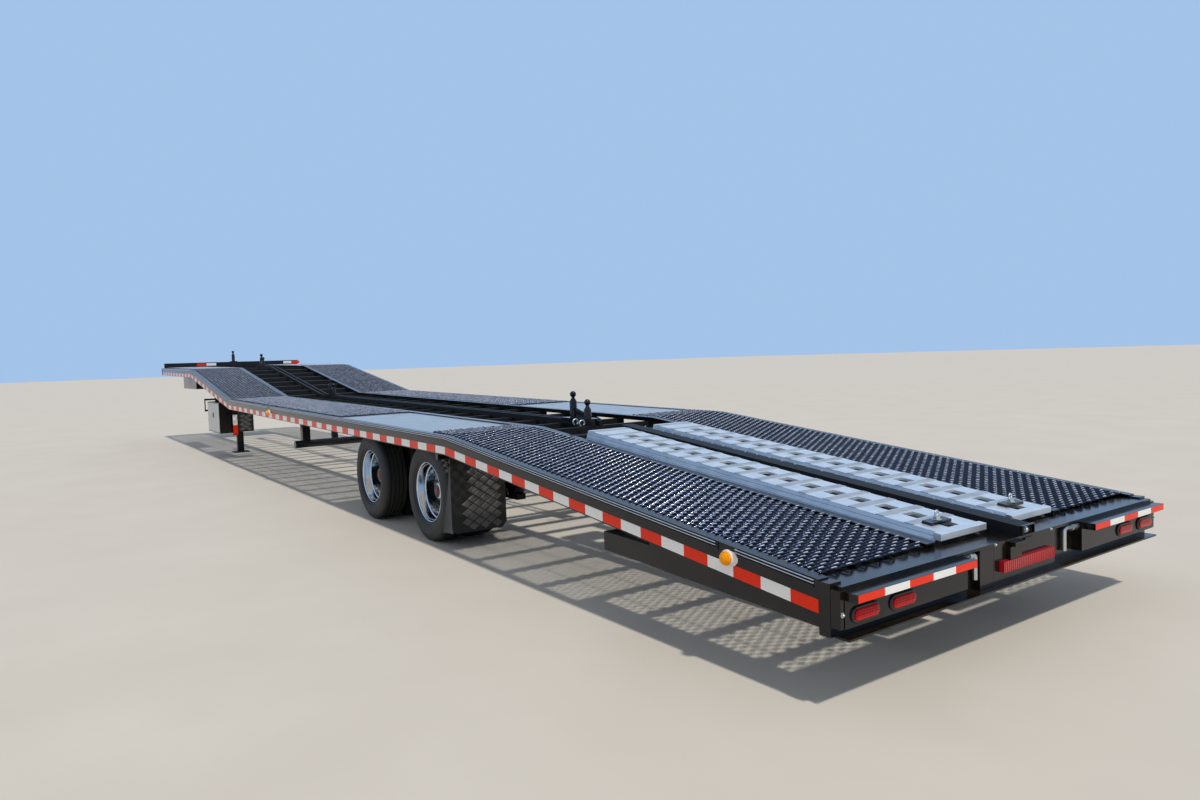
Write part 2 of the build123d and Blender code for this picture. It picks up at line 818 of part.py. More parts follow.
# Side boxes under the tail: a deep box beside each rail with a short one ahead of it
under_box_outer_side = rail_face - rail_flange - under_box_rail_gap
box_rear = header_front + seat
box_split = under_box_split_run
for side_name, side in sides:
    with BuildPart() as under_box:
        low, high = mirrored(side, under_box_outer_side - under_box_width, under_box_outer_side)
        side_plate([(at(box_rear), under_cross(box_rear)), (at(box_split), under_cross(box_split)),
                    (at(box_split), under_box_split_bottom), (at(box_rear), tail_clearance)], low, high)
        side_plate([(at(box_split - weld_lap), short_box_rear_top),
                    (at(under_box_front_run), short_box_front_top),
                    (at(under_box_front_run), short_box_front_bottom),
                    (at(box_split - weld_lap), short_box_rear_bottom)], low, high)
    finish(under_box, f"under_box_{side_name}")

# Lamp boxes with the tape shelves over them
for side_name, side in sides:
    with BuildPart() as box:
        low, high = mirrored(side, lamp_box_inner_side, lamp_box_outer_side)
        block(at(-lamp_box_rear), at(-seat), low, high, lamp_box_bottom, header_top - seat)
        low, high = mirrored(side, lamp_box_inner_side + shelf_inner_gap,
                             lamp_box_outer_side - shelf_outer_gap)
        block(at(-tail_overhang), at(-lamp_box_rear), low, high, shelf_top - shelf_height, shelf_top)
    finish(box, f"lamp_box_{side_name}")

# Locking pins: a round bar out of each lamp box's inner end, turned down as a handle
with BuildPart() as hold_pins:
    for side_name, side in sides:
        start = lamp_box_inner_side - seat
        end = start - pin_length
        bar = [(side * start, pin_radius), (side * end, pin_radius)]
        across(on_axis(bar), -pin_rear, pin_height, pin_corners)
        handle = [(pin_height - pin_handle, pin_radius), (pin_height, pin_radius)]
        upright(handle, -pin_rear, side * end, pin_corners)
finish(hold_pins, "hold_pins")

# Oval stop lamps on the lamp boxes, and the long light bar on the centre plate
with BuildPart() as lamps:
    for side_name, side in sides:
        for inset in (outer_lamp_inset, inner_lamp_inset):
            with BuildSketch(Plane.YZ.offset(at(-lamp_box_rear - seat))) as oval:
                with Locations((side * (half_width - inset), lamp_height)):
                    Rectangle(lamp_length, lamp_width)
                chamfer(oval.vertices(), lamp_chamfer)
            extrude(oval.sketch, amount=lamp_thickness, dir=(-1, 0, 0))
finish(lamps, "stop_lamps")

with BuildPart() as light_bar:
    light_bar_front = -centre_plate_rear - seat
    block(at(light_bar_front - light_bar_thickness), at(light_bar_front), -light_bar_half_width,
          light_bar_half_width, light_bar_bottom, light_bar_top)
finish(light_bar, "light_bar")

# Side markers: two domed amber lenses on each rail
with BuildPart() as markers:
    # Columns: run of the lens, how far its middle lies below the rail's top
    for run, drop in ((rear_marker_run, rear_marker_drop), (front_marker_run, front_marker_drop)):
        for side_name, side in sides:
            foot = rail_face + seat
            dome = [(side * foot, marker_radius),
                    (side * (foot + marker_shoulder_depth), marker_shoulder_radius),
                    (side * (foot + marker_depth), marker_tip_radius)]
            across(on_axis(dome), run, deck(run) - drop, marker_corners)
finish(markers, "side_markers")

# Stored ramps: a plank top with a row of square holes, on webs that flare outwards, and a
# closed nose at the rear end
ramp_middle = ramp_inner_side + ramp_width / 2


def ramp_rise(run):
    """How far the ramp's top lies above the rails' top at a run."""
    share = (run - ramp_start_run) / (ramp_end_run - ramp_start_run)
    return ramp_rear_rise + (ramp_front_rise - ramp_rear_rise) * share


def ramp_form(side, inset, nose, mode):
    """Loft the ramp's section from its rear to its front end, set in by a wall and a nose."""
    profiles = []
    for run in (ramp_start_run + nose, ramp_end_run):
        low = deck(run) - cross_drop + seat - inset
        high = deck(run) + ramp_rise(run) - inset
        foot = ramp_width / 2 - inset
        top = ramp_top_width / 2 - inset
        with BuildSketch(Plane.YZ.offset(at(run))) as profile:
            with BuildLine():
                Polyline((side * ramp_middle - foot, low), (side * ramp_middle + foot, low),
                         (side * ramp_middle + top, high), (side * ramp_middle - top, high), close=True)
            make_face()
        profiles.append(profile.sketch)
    loft(profiles, ruled=True, mode=mode)


for side_name, side in sides:
    with BuildPart() as ramp:
        ramp_form(side, 0, 0, Mode.ADD)
        ramp_form(side, ramp_wall, ramp_nose_length, Mode.SUBTRACT)
        nose_low = deck(ramp_start_run) + ramp_rear_rise - ramp_nose_depth
        block(at(ramp_start_run - weld_lap), at(ramp_start_run + ramp_nose_length + weld_lap),
              *mirrored(side, ramp_inner_side - weld_lap, ramp_inner_side + ramp_width + weld_lap),
              nose_low - 2 * cross_drop, nose_low, Mode.SUBTRACT)
        first_hole = ramp_start_run + ramp_first_hole
        middle_hole = first_hole + ramp_hole_pitch * (ramp_hole_count - 1) / 2
        with BuildSketch(Plane.XY) as holes:
            with Locations((at(middle_hole), side * ramp_middle)):
                with GridLocations(ramp_hole_pitch, 1, ramp_hole_count, 1):
                    Rectangle(ramp_hole_size, ramp_hole_size)
        extrude(holes.sketch, amount=deck(ramp_end_run) + 2 * ramp_front_rise, mode=Mode.SUBTRACT)
    finish(ramp, f"ramp_{side_name}")

# Centre rails: a box between the stored ramps, then two bars with a slot between them
with BuildPart() as centre_rails:
    box_end = rear_bend_run - tail_rail_end_gap
    box_step = header_front + seat
    box_foot = seat - cross_drop
    side_plate([(at(-tail_rail_rear), cap_top + seat), (at(box_step), cap_top + seat),
                (at(box_step), deck(box_step) + box_foot), (at(box_end), deck(box_end) + box_foot),
                (at(box_end), deck(box_end) + tail_rail_rise),
                (at(-tail_rail_rear), deck(-tail_rail_rear) + tail_rail_rise)],
               -centre_rail_half_width, centre_rail_half_width)
    guide_rear = rear_bend_run + centre_rail_bend_gap
    guide_front = neck_run + centre_rail_past_neck
    for run_a, run_b in straight_spans(guide_rear, guide_front):
        for side_name, side in sides:
            low, high = mirrored(side, centre_rail_slot / 2, centre_rail_half_width)
            band(run_a, run_b, centre_rail_rise, centre_rail_rise + cross_drop - seat, low, high)
finish(centre_rails, "centre_rails")

# Front bar: the nose channel across the rails' front ends, with a low upstand
nose_front = nose_run + nose_overhang
upstand_half = half_width - front_bar_inset
with BuildPart() as front_bar:
    block(at(nose_run + seat), at(nose_front), -half_width, half_width,
          nose_height - rail_depth, nose_height)
    block(at(nose_run + front_bar_setback), at(nose_front), -upstand_half, upstand_half,
          nose_height, nose_height + front_bar_rise)
finish(front_bar, "front_bar")

# Ball posts on the centre line: pairs of a tall and a short post with a gusset between
# them, and a single post on the front bar.
# Columns: run, half the pair's spacing, half the plate's length
ball_pairs = (
    (rear_bend_run + 266, 100, 170),
    (front_bend_run - 354, 60, 110),
    (neck_run + 746, 60, 110),
)


def ball_post(run, base, height):
    """Add an eight-sided post that narrows to a neck under its ball."""
    middle = base + height + ball_seat
    sections = [(base, post_radius), (middle - post_shoulder, post_radius),
                (middle - post_neck_foot, ball_neck_radius), (middle - ball_seat, ball_neck_radius),
                (middle - ball_girth_offset, ball_girth), (middle, ball_radius),
                (middle + ball_girth_offset, ball_girth), (middle + ball_seat, ball_neck_radius)]
    upright(sections, run, 0, post_corners)


with BuildPart() as ball_posts:
    for run, half_spacing, half_plate in ball_pairs:
        base = deck(run) + centre_rail_rise + seat
        band(run - half_plate, run + half_plate, centre_rail_rise + seat + post_plate, post_plate,
             -post_plate_half_width, post_plate_half_width)
        tall_run = run + half_spacing
        short_run = run - half_spacing
        ball_post(tall_run, deck(tall_run) + centre_rail_rise + post_plate / 2, tall_post_height)
        ball_post(short_run, deck(short_run) + centre_rail_rise + post_plate / 2, short_post_height)
        side_plate([(at(tall_run), base + post_plate / 2),
                    (at(tall_run), base + tall_post_height - post_gusset_drop),
                    (at(short_run), base + short_post_height - post_gusset_drop),
                    (at(short_run), base)], -post_gusset_thickness / 2, post_gusset_thickness / 2)
    nose_post_run = nose_run + nose_post_setback
    nose_base = nose_height + front_bar_rise + seat
    block(at(nose_post_run) - post_radius, at(nose_post_run) + post_radius, -post_plate_half_width,
          post_plate_half_width, nose_base, nose_base + post_plate)
    ball_post(nose_post_run, nose_base + post_plate / 2, tall_post_height)
finish(ball_posts, "ball_posts")

# Tool box hung under the left tread behind the legs, on two straps
tool_box_front = leg_run - tool_box_behind_leg
tool_box_outer = half_width - tool_box_inset
strap_side = tool_box_outer - tool_strap_inset
with BuildPart() as tool_box:
    block(at(tool_box_front - tool_box_length), at(tool_box_front), tool_box_outer - tool_box_width,
          tool_box_outer, tool_box_bottom, tool_box_top)
    for member in tool_strap_members:
        run = member_runs["slope"][member]
        strap_ends = (run - tool_strap_half, run + tool_strap_half)
        top = [(at(end), under_cross(end)) for end in strap_ends]
        bottom = [(at(end), tool_box_top - weld_lap) for end in reversed(strap_ends)]
        side_plate(top + bottom, strap_side - tool_strap_width, strap_side)
finish(tool_box, "tool_box_left")

# Closed box under the left side of the neck
neck_box_rear = neck_run + neck_box_start_gap
neck_box_front = neck_box_rear + neck_box_length
neck_box_outer = half_width - neck_box_inset
with BuildPart() as neck_box:
    side_plate([(at(neck_box_rear), under_cross(neck_box_rear)),
                (at(neck_box_front), under_cross(neck_box_front)),
                (at(neck_box_front), neck_box_bottom), (at(neck_box_rear), neck_box_bottom)],
               neck_box_outer - neck_box_width, neck_box_outer)
finish(neck_box, "neck_box_left")

# Guard behind the left leg: a post under a crossmember, with a bar that holds a short flap
guard_rear = member_runs["slope"][guard_member] - guard_post_thickness / 2
guard_front = guard_rear + guard_post_thickness
guard_post_inner_side = half_width - guard_post_inset - guard_post_width
with BuildPart() as guard:
    side_plate([(at(guard_rear), under_cross(guard_rear)), (at(guard_front), under_cross(guard_front)),
                (at(guard_front), guard_post_bottom), (at(guard_rear), guard_post_bottom)],
               guard_post_inner_side, guard_post_inner_side + guard_post_width)
    flap_low_side = guard_post_inner_side - guard_flap_width
    block(at(guard_rear + flap_thickness), at(guard_front), flap_low_side,
          guard_post_inner_side + weld_lap, guard_flap_top - guard_bar_depth, guard_flap_top)
finish(guard, "leg_guard")
with BuildPart() as guard_flap:
    block(at(guard_rear - seat), at(guard_rear + flap_thickness - seat), flap_low_side,
          guard_post_inner_side - seat, guard_flap_bottom, guard_flap_top)
finish(guard_flap, "leg_guard_flap")

# Air tanks under two crossmembers ahead of the axles
with BuildPart() as tanks:
    for member in tank_members:
        run = member_runs["mid"][member]
        tank_low = under_cross(run - cross_width / 2) - tank_radius
        ends = [(-tank_half_length, tank_radius), (tank_half_length, tank_radius)]
        across(on_axis(ends), run, tank_low, tank_corners)
finish(tanks, "air_tanks")
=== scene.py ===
import math

import bmesh
import bpy
from mathutils import Matrix, Vector


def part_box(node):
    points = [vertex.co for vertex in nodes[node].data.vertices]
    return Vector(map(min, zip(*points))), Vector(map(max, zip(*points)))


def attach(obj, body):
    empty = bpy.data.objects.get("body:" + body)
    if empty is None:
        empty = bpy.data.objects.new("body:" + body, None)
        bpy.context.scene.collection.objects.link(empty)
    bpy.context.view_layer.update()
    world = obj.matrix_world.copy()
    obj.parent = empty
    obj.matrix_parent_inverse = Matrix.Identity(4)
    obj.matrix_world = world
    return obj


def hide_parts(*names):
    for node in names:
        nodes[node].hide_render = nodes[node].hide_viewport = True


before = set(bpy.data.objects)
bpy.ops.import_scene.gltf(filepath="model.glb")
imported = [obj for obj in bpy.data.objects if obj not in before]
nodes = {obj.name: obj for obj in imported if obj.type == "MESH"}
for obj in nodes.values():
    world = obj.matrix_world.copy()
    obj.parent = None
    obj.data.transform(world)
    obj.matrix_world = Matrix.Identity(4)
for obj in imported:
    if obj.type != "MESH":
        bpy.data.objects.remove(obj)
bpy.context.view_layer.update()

# Stage: a pale floor under a pale studio sky, one soft high key lamp from behind the tail and
# an even world light. The camera stands near the rear left corner at the height of a chest.


def new_object(name, data):
    """An object in the scene for a mesh, a lamp or a camera."""
    made = bpy.data.objects.new(name, data)
    bpy.context.collection.objects.link(made)
    return made


camera_data = bpy.data.cameras.new("camera")
camera_data.lens = 24.911
camera_data.clip_end = 500
camera = new_object("camera", camera_data)
camera_right = Vector((-0.5771526, -0.81600535, -0.03209581))
camera_up = Vector((0.02404369, -0.05626501, 0.99812632))
camera_forward = Vector((0.81628229, -0.5752995, -0.05209328))
camera.matrix_world = Matrix.Translation((-9.9217, 3.6454, 1.3296)) @ Matrix(
    (camera_right, camera_up, -camera_forward)).transposed().to_4x4()
bpy.context.scene.camera = camera
bpy.context.scene.view_settings.view_transform = "Standard"


def linear(code):
    """An sRGB hex colour as the linear red, green, blue and alpha of a shader."""
    channels = [int(code[start:start + 2], 16) / 255 for start in (1, 3, 5)]
    return [c / 12.92 if c <= 0.04045 else ((c + 0.055) / 1.055) ** 2.4 for c in channels] + [1.0]


def set_inputs(tree, node, inputs):
    """Give named or numbered inputs a plain value, or a link from a socket or from a node's first output."""
    for name, value in inputs.items():
        if isinstance(value, bpy.types.Node):
            value = next(socket for socket in value.outputs if socket.enabled)
        if isinstance(value, bpy.types.NodeSocket):
            tree.links.new(value, node.inputs[name])
        else:
            node.inputs[name].default_value = value


def add_node(tree, kind, inputs=None, **settings):
    """Add a node with its settings, values and links."""
    node = tree.nodes.new(kind)
    for name, value in settings.items():
        setattr(node, name, value)
    set_inputs(tree, node, inputs or {})
    return node


def new_material(name, surface):
    """A material with its Principled shader's plain values, its tree, shader and coordinates."""
    material = bpy.data.materials.new(name)
    material.use_nodes = True
    tree = material.node_tree
    shader = tree.nodes["Principled BSDF"]
    set_inputs(tree, shader, surface)
    return material, tree, shader, add_node(tree, "ShaderNodeTexCoord").outputs["Object"]


def mottled(name, surface, scale, detail, tones, roughness=None, relief=None):
    """A finish that drifts between two tones in soft clouds, which may also dull it and raise its skin."""
    material, tree, shader, place = new_material(name, surface)
    cloud = add_node(tree, "ShaderNodeTexNoise", {"Vector": place, "Scale": scale, "Detail": detail})
    tone = add_node(tree, "ShaderNodeMix", {
        "Factor": cloud, "A": linear(tones[0]), "B": linear(tones[1])}, data_type="RGBA")
    set_inputs(tree, shader, {"Base Color": tone})
    if roughness:
        low, high = roughness
        dull = add_node(tree, "ShaderNodeMapRange", {"Value": cloud, "To Min": low, "To Max": high})
        set_inputs(tree, shader, {"Roughness": dull})
    if relief:
        strength, depth = relief
        skin = add_node(tree, "ShaderNodeBump", {"Height": cloud, "Strength": strength, "Distance": depth})
        set_inputs(tree, shader, {"Normal": skin})
    return material


def add_piece(name, form, materials):
    """A mesh object from points, faces and, where it has several finishes, the number of each face's."""
    points, faces, kinds = (*form, None)[:3]
    mesh = bpy.data.meshes.new(name)
    mesh.from_pydata([tuple(point) for point in points], [], faces)
    for material in materials:
        mesh.materials.append(material)
    if kinds:
        mesh.polygons.foreach_set("material_index", kinds)
    return new_object(name, mesh)


# Floated concrete: a matt, faintly mottled ground that takes the shadow softly.
concrete = mottled("pale_floated_concrete", {"Roughness": 0.8}, 1.3, 4.0, ("#bfbab2", "#cbc7c0"))
floor_half = 180
floor_corners = [(x * floor_half, y * floor_half, 0) for x, y in ((-1, -1), (1, -1), (1, 1), (-1, 1))]
floor = add_piece("floor", (floor_corners, [(0, 1, 2, 3)]), [concrete])

sun_data = bpy.data.lights.new("key", "SUN")
sun_data.energy = 2.6
sun_data.angle = 0.05
sun_data.color = linear("#fff6e8")[:3]
sun = new_object("key", sun_data)
towards_sun = Vector((-0.27, 0.03, 0.45))
sun.matrix_world = towards_sun.to_track_quat("Z", "Y").to_matrix().to_4x4()

world = bpy.data.worlds.new("studio")
bpy.context.scene.world = world
world.use_nodes = True
tree = world.node_tree
tree.nodes.clear()
path = add_node(tree, "ShaderNodeLightPath").outputs
seen = add_node(tree, "ShaderNodeMath", {
    0: path["Is Camera Ray"], 1: path["Is Glossy Ray"]}, operation="MAXIMUM")
seen = add_node(tree, "ShaderNodeMath", {0: seen, 1: path["Is Transmission Ray"]}, operation="MAXIMUM")
light = add_node(tree, "ShaderNodeBackground", {"Color": linear("#e4ecf7"), "Strength": 0.55})
sky = add_node(tree, "ShaderNodeBackground", {"Color": linear("#a4c3e8"), "Strength": 1.0})
both = add_node(tree, "ShaderNodeMixShader", {0: seen, 1: light, 2: sky})
add_node(tree, "ShaderNodeOutputWorld", {"Surface": both})

# Frame: rails, beams, crossmembers, tail, boxes and bars are welded steel, sprayed with gloss
# black enamel. The enamel has a faint orange peel, and thin warm dust dulls it in patches.
# Sprayed enamel: a deep black under a hard gloss, so flat faces mirror sky and floor.
black_enamel, tree, shader, place = new_material("gloss_black_enamel", {
    "IOR": 1.45, "Coat Weight": 0.1, "Coat Roughness": 0.05, "Specular Tint": linear("#d5dcee")})
patches = add_node(tree, "ShaderNodeTexNoise", {
    "Vector": place, "Scale": 2.2, "Detail": 5.0, "Roughness": 0.62})
dust = add_node(tree, "ShaderNodeMapRange", {
    "Value": patches, "From Min": 0.42, "From Max": 0.72, "To Max": 0.7})
enamel = add_node(tree, "ShaderNodeMix", {
    "Factor": dust, "A": linear("#0b0a08"), "B": linear("#2e251b")}, data_type="RGBA")
dulled = add_node(tree, "ShaderNodeMapRange", {
    "Value": patches, "From Min": 0.35, "From Max": 0.75, "To Min": 0.12, "To Max": 0.28})
peel = add_node(tree, "ShaderNodeTexNoise", {"Vector": place, "Scale": 160.0, "Detail": 1.0})
relief = add_node(tree, "ShaderNodeBump", {"Height": peel, "Strength": 0.05, "Distance": 0.002})
set_inputs(tree, shader, {"Base Color": enamel, "Roughness": dulled, "Normal": relief})

# Scuffed enamel: straps and boots rub the inner members satin, so they stay dark under the sky.
satin_enamel = mottled("scuffed_satin_enamel", {"IOR": 1.45, "Specular IOR Level": 0.25}, 30.0, 5.0,
                       ("#0a0a0b", "#1f1f21"), roughness=(0.42, 0.7))


def paint(starts, material):
    """Give the CAD nodes whose names have one of these starts a finished material."""
    for name, node in nodes.items():
        if name.startswith(starts):
            node.data.materials.clear()
            node.data.materials.append(material)


paint(("side_rail", "main_beam", "tread_rails", "axle", "under_box", "lamp_box", "tail_header", "front_bar",
       "cross_tube", "flap_bars", "kingpin_plate", "leg_guard", "neck_box_left", "suspension", "air_tanks",
       "tool_box_left"), black_enamel)
paint(("crossmembers", "centre_rails", "landing_legs"), satin_enamel)

# Treads: sheets of raised expanded steel, slit and drawn into diamonds and then painted black.
# Each strand stands on edge like a scale, which grips the tyres of a car. The sheets rest
# on the crossmembers and stringers, and stop at the bends and at the wheel covers.
# Dipped enamel: it ran thick on the strands. Its reflections are tinted blue, a painted reflection of
# a deep blue sky, so each scale carries a small hard blue glint, and a pale painted highlight lies on
# the crown of each raised bond, in strokes that come and go.
mesh_enamel, tree, shader, place = new_material("thick_gloss_enamel_on_mesh", {
    "IOR": 1.55, "Coat Weight": 0.3, "Coat Roughness": 0.06, "Specular Tint": linear("#8ea6e2")})
patches = add_node(tree, "ShaderNodeTexNoise", {"Vector": place, "Scale": 3.0, "Detail": 3.0})
enamel = add_node(tree, "ShaderNodeMix", {
    "Factor": patches, "A": linear("#050507"), "B": linear("#0e0f14")}, data_type="RGBA")
# Painted highlight: the crowns marked on the strands take a pale tone, lighter in random patches.
crown = add_node(tree, "ShaderNodeAttribute", attribute_name="crown").outputs["Fac"]
painted_glint = add_node(tree, "ShaderNodeMapRange", {"Value": crown, "From Min": 0.75, "From Max": 0.97})
glint_patches = add_node(tree, "ShaderNodeTexNoise", {"Vector": place, "Scale": 38.0, "Detail": 2.0})
glint_patches = add_node(tree, "ShaderNodeMapRange", {"Value": glint_patches, "From Min": 0.38, "From Max": 0.66})
glint_tone = add_node(tree, "ShaderNodeMix", {
    "Factor": glint_patches, "A": linear("#6f7a94"), "B": linear("#d6dbe4")}, data_type="RGBA")
enamel = add_node(tree, "ShaderNodeMix", {"Factor": painted_glint, "A": enamel, "B": glint_tone}, data_type="RGBA")
runs = add_node(tree, "ShaderNodeTexNoise", {"Vector": place, "Scale": 70.0, "Detail": 2.0})
dulled = add_node(tree, "ShaderNodeMapRange", {"Value": runs, "To Min": 0.12, "To Max": 0.22})
relief = add_node(tree, "ShaderNodeBump", {"Height": runs, "Strength": 0.35, "Distance": 0.004})
set_inputs(tree, shader, {"Base Color": enamel, "Roughness": dulled, "Normal": relief})

sides = (("left", 1), ("right", -1))
rail_rear_x = -7.977
deck_line = ((0.0, 0.487), (3.234, 0.829), (10.094, 0.912), (12.884, 1.335), (15.934, 1.375))
rail_length = deck_line[-1][0]
tread_sides = (0.5605, 1.2345)
diamond_width = 0.088
diamond_length = 0.0508
strand_width = 0.013
strand_thickness = 0.005
strand_tilt = math.radians(50)
bond_length = 0.024


def deck(run):
    """Height of the rails' top at a run forward of their rear end."""
    for (run_a, height_a), (run_b, height_b) in zip(deck_line, deck_line[1:]):
        if run <= run_b:
            break
    return height_a + (run - run_a) * (height_b - height_a) / (run_b - run_a)


def strand(mesh, low, high, row):
    """Add one zigzag strand across the tread, from bond to bond, with closed ends."""
    tilt_x, tilt_z = math.cos(strand_tilt), math.sin(strand_tilt)
    swing_x = diamond_length / 4 - strand_width * tilt_x / 2
    swing_z = strand_width * tilt_z / 2
    half, half_bond = diamond_width / 2, bond_length / 2
    breaks = [low, high]
    for step in range(math.floor(low / half) - 1, math.ceil(high / half) + 1):
        breaks += [y for y in (step * half - half_bond, step * half + half_bond) if low < y < high]
    crown = mesh.verts.layers.float.get("crown") or mesh.verts.layers.float.new("crown")
    edge, face = strand_width / 2, strand_thickness / 2
    section = ((edge, 0), (edge / 2, face), (-edge / 2, face),
               (-edge, 0), (-edge / 2, -face), (edge / 2, -face))
    upper_corners = (0, 1, 5)
    rings = []
    for y in sorted(breaks):
        step = round(y / half)
        turn = 1 if (step + row) % 2 else -1
        swing = 1 - max(abs(y - step * half) - half_bond, 0) / (half / 2 - half_bond)
        x = row * diamond_length / 2 + turn * swing * swing_x
        z = -turn * swing * swing_z
        rings.append([
            mesh.verts.new((x + along * tilt_x - out * tilt_z, y, z + along * tilt_z + out * tilt_x))
            for along, out in section])
        # Mark the upper corners at the raised bonds, where the enamel paints its highlight.
        for index in upper_corners:
            rings[-1][index][crown] = 1.0 if turn < 0 else 0.0
    for ring_a, ring_b in zip(rings, rings[1:]):
        for index in range(len(section)):
            following = (index + 1) % len(section)
            mesh.faces.new((ring_a[index], ring_a[following], ring_b[following], ring_b[index]))
    mesh.faces.new(rings[0])
    mesh.faces.new(rings[-1])


def strand_pair(low, high):
    """Two neighbouring strands, which the tree below repeats along a sheet."""
    pair = bmesh.new()
    for row in (0, 1):
        strand(pair, low, high, row)
    bmesh.ops.recalc_face_normals(pair, faces=pair.faces)
    for strand_face in pair.faces:
        strand_face.smooth = True
    mesh = bpy.data.meshes.new("pair")
    pair.to_mesh(mesh)
    pair.free()
    mesh.materials.append(mesh_enamel)
    return new_object("pair", mesh)


def new_tree(name, sizes):
    """A tree that repeats a piece, with named inputs for its sizes, and its input node's sockets."""
    tree = bpy.data.node_groups.new(name, "GeometryNodeTree")
    for label, kind in (("Piece", "Geometry"), *sizes, ("Finish", "Material")):
        tree.interface.new_socket(label, in_out="INPUT", socket_type=f"NodeSocket{kind}")
    tree.interface.new_socket("Laid", in_out="OUTPUT", socket_type="NodeSocketGeometry")
    return tree, add_node(tree, "NodeGroupInput").outputs


def end_tree(tree, laid, finish):
    """End a tree in real faces with their finish."""
    real = add_node(tree, "GeometryNodeRealizeInstances", {0: laid})
    finished = add_node(tree, "GeometryNodeSetMaterial", {"Geometry": real, "Material": finish})
    add_node(tree, "NodeGroupOutput", {"Laid": finished})


def run_tree(source, tree, values):
    """The mesh that a tree makes of an object, with the tree's named inputs set. The object is removed."""
    modifier = source.modifiers.new("tree", "NODES")
    modifier.node_group = tree
    for item in tree.interface.items_tree:
        if item.item_type == "SOCKET" and item.in_out == "INPUT" and item.name in values:
            modifier[item.identifier] = values[item.name]
    source.update_tag()
    made = bpy.data.meshes.new_from_object(source.evaluated_get(bpy.context.evaluated_depsgraph_get()))
    bpy.data.objects.remove(source)
    return made


def joined(name, meshes, material):
    """One object from several plain meshes."""
    whole = bmesh.new()
    for mesh in meshes:
        whole.from_mesh(mesh)
    result = bpy.data.meshes.new(name)
    whole.to_mesh(result)
    whole.free()
    result.materials.append(material)
    return new_object(name, result)


deck_row, given = new_tree("row_along_deck", (
    ("Count", "Int"), ("Pitch", "Float"), ("Start", "Vector"), ("Slope", "Float")))
step = add_node(deck_row, "ShaderNodeCombineXYZ", {"X": given["Pitch"]})
line = add_node(deck_row, "GeometryNodeMeshLine", {"Count": given["Count"], "Offset": step}, mode="OFFSET")
repeated = add_node(deck_row, "GeometryNodeInstanceOnPoints", {"Points": line, "Instance": given["Piece"]})
lean = add_node(deck_row, "ShaderNodeMath", {0: given["Slope"], 1: -1.0}, operation="MULTIPLY")
lean = add_node(deck_row, "ShaderNodeCombineXYZ", {"Y": lean})
laid = add_node(deck_row, "GeometryNodeTransform", {
    "Geometry": repeated, "Translation": given["Start"], "Rotation": lean})
end_tree(deck_row, laid, given["Finish"])

tread_sheets = {
    "rear": ((0.092, 3.228), (3.240, 3.574)),
    "mid": ((5.596, 10.088),),
    "slope": ((10.100, 12.878),),
    "front": ((12.890, 15.924),),
}
for section_name, sheets in tread_sheets.items():
    for side_name, side in sides:
        low, high = sorted(side * y for y in tread_sides)
        meshes = []
        for run_a, run_b in sheets:
            fall = deck(run_b) - deck(run_a)
            slope = math.atan2(fall, run_b - run_a)
            length = math.hypot(run_b - run_a, fall)
            count = round(length / diamond_length)
            pitch = length / count
            start = (rail_rear_x + run_a + pitch / 4 * math.cos(slope), 0.0,
                     deck(run_a) - 0.001 + pitch / 4 * math.sin(slope))
            meshes.append(run_tree(strand_pair(low, high), deck_row, {
                "Count": count, "Pitch": pitch, "Start": start, "Slope": slope, "Finish": mesh_enamel}))
        sheet = joined(f"expanded_tread_{section_name}_{side_name}", meshes, mesh_enamel)
        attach(sheet, "chassis")
        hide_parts(f"grating_{section_name}_{side_name}")

# Wheel covers: plain rolled plates set in the treads over the wheels, left bright and a little
# uneven from rolling, so that they mirror the sky in soft patches.
# Rolled bright plate: its fine grain blurs the sky to a pale sheen, lightest along the rolling.
cover_plate, tree, shader, place = new_material("bright_rolled_plate", {"Metallic": 0.85})
waves = add_node(tree, "ShaderNodeTexNoise", {"Vector": place, "Scale": 9.0, "Detail": 3.0})
stretch = add_node(tree, "ShaderNodeMapping", {"Vector": place, "Scale": (6.0, 60.0, 6.0)})
grain = add_node(tree, "ShaderNodeTexNoise", {"Vector": stretch, "Scale": 4.0, "Detail": 4.0})
tint = add_node(tree, "ShaderNodeMix", {
    "Factor": waves, "A": linear("#b4b6b4"), "B": linear("#dcdcd8")}, data_type="RGBA")
worn = add_node(tree, "ShaderNodeMapRange", {"Value": grain, "To Min": 0.26, "To Max": 0.44})
relief = add_node(tree, "ShaderNodeBump", {"Height": waves, "Strength": 0.25, "Distance": 0.004})
set_inputs(tree, shader, {"Base Color": tint, "Roughness": worn, "Normal": relief})
paint(("wheel_cover_left", "wheel_cover_right"), cover_plate)

# Ramps: extruded aluminium planks laid across two flared webs and welded, each with a square
# hole, with a raised gripping band between planks and a box section as the nose. They lie
# stored in the well, and a bar washer with an eye bolt holds each one down.


def mill_metal(name, bright, grey, roughness, stretch_by):
    """Aluminium as it left the press: fine die lines along the stretched axis, and pale blotches."""
    material, tree, shader, place = new_material(name, {"Metallic": 0.82})
    stretch = add_node(tree, "ShaderNodeMapping", {"Vector": place, "Scale": stretch_by})
    lines = add_node(tree, "ShaderNodeTexNoise", {"Vector": stretch, "Scale": 1.0, "Detail": 2.0})
    blotches = add_node(tree, "ShaderNodeTexNoise", {"Vector": place, "Scale": 12.0, "Detail": 4.0})
    both = add_node(tree, "ShaderNodeMath", {0: lines, 1: blotches}, operation="MULTIPLY")
    share = add_node(tree, "ShaderNodeMapRange", {"Value": both, "From Min": 0.1, "From Max": 0.42})
    tone = add_node(tree, "ShaderNodeMix", {
        "Factor": share, "A": linear(bright), "B": linear(grey)}, data_type="RGBA")
    dull = add_node(tree, "ShaderNodeMath", {0: lines, 1: 0.2, 2: roughness}, operation="MULTIPLY_ADD")
    relief = add_node(tree, "ShaderNodeBump", {"Height": lines, "Strength": 0.25, "Distance": 0.001})
    set_inputs(tree, shader, {"Base Color": tone, "Roughness": dull, "Normal": relief})
    return material


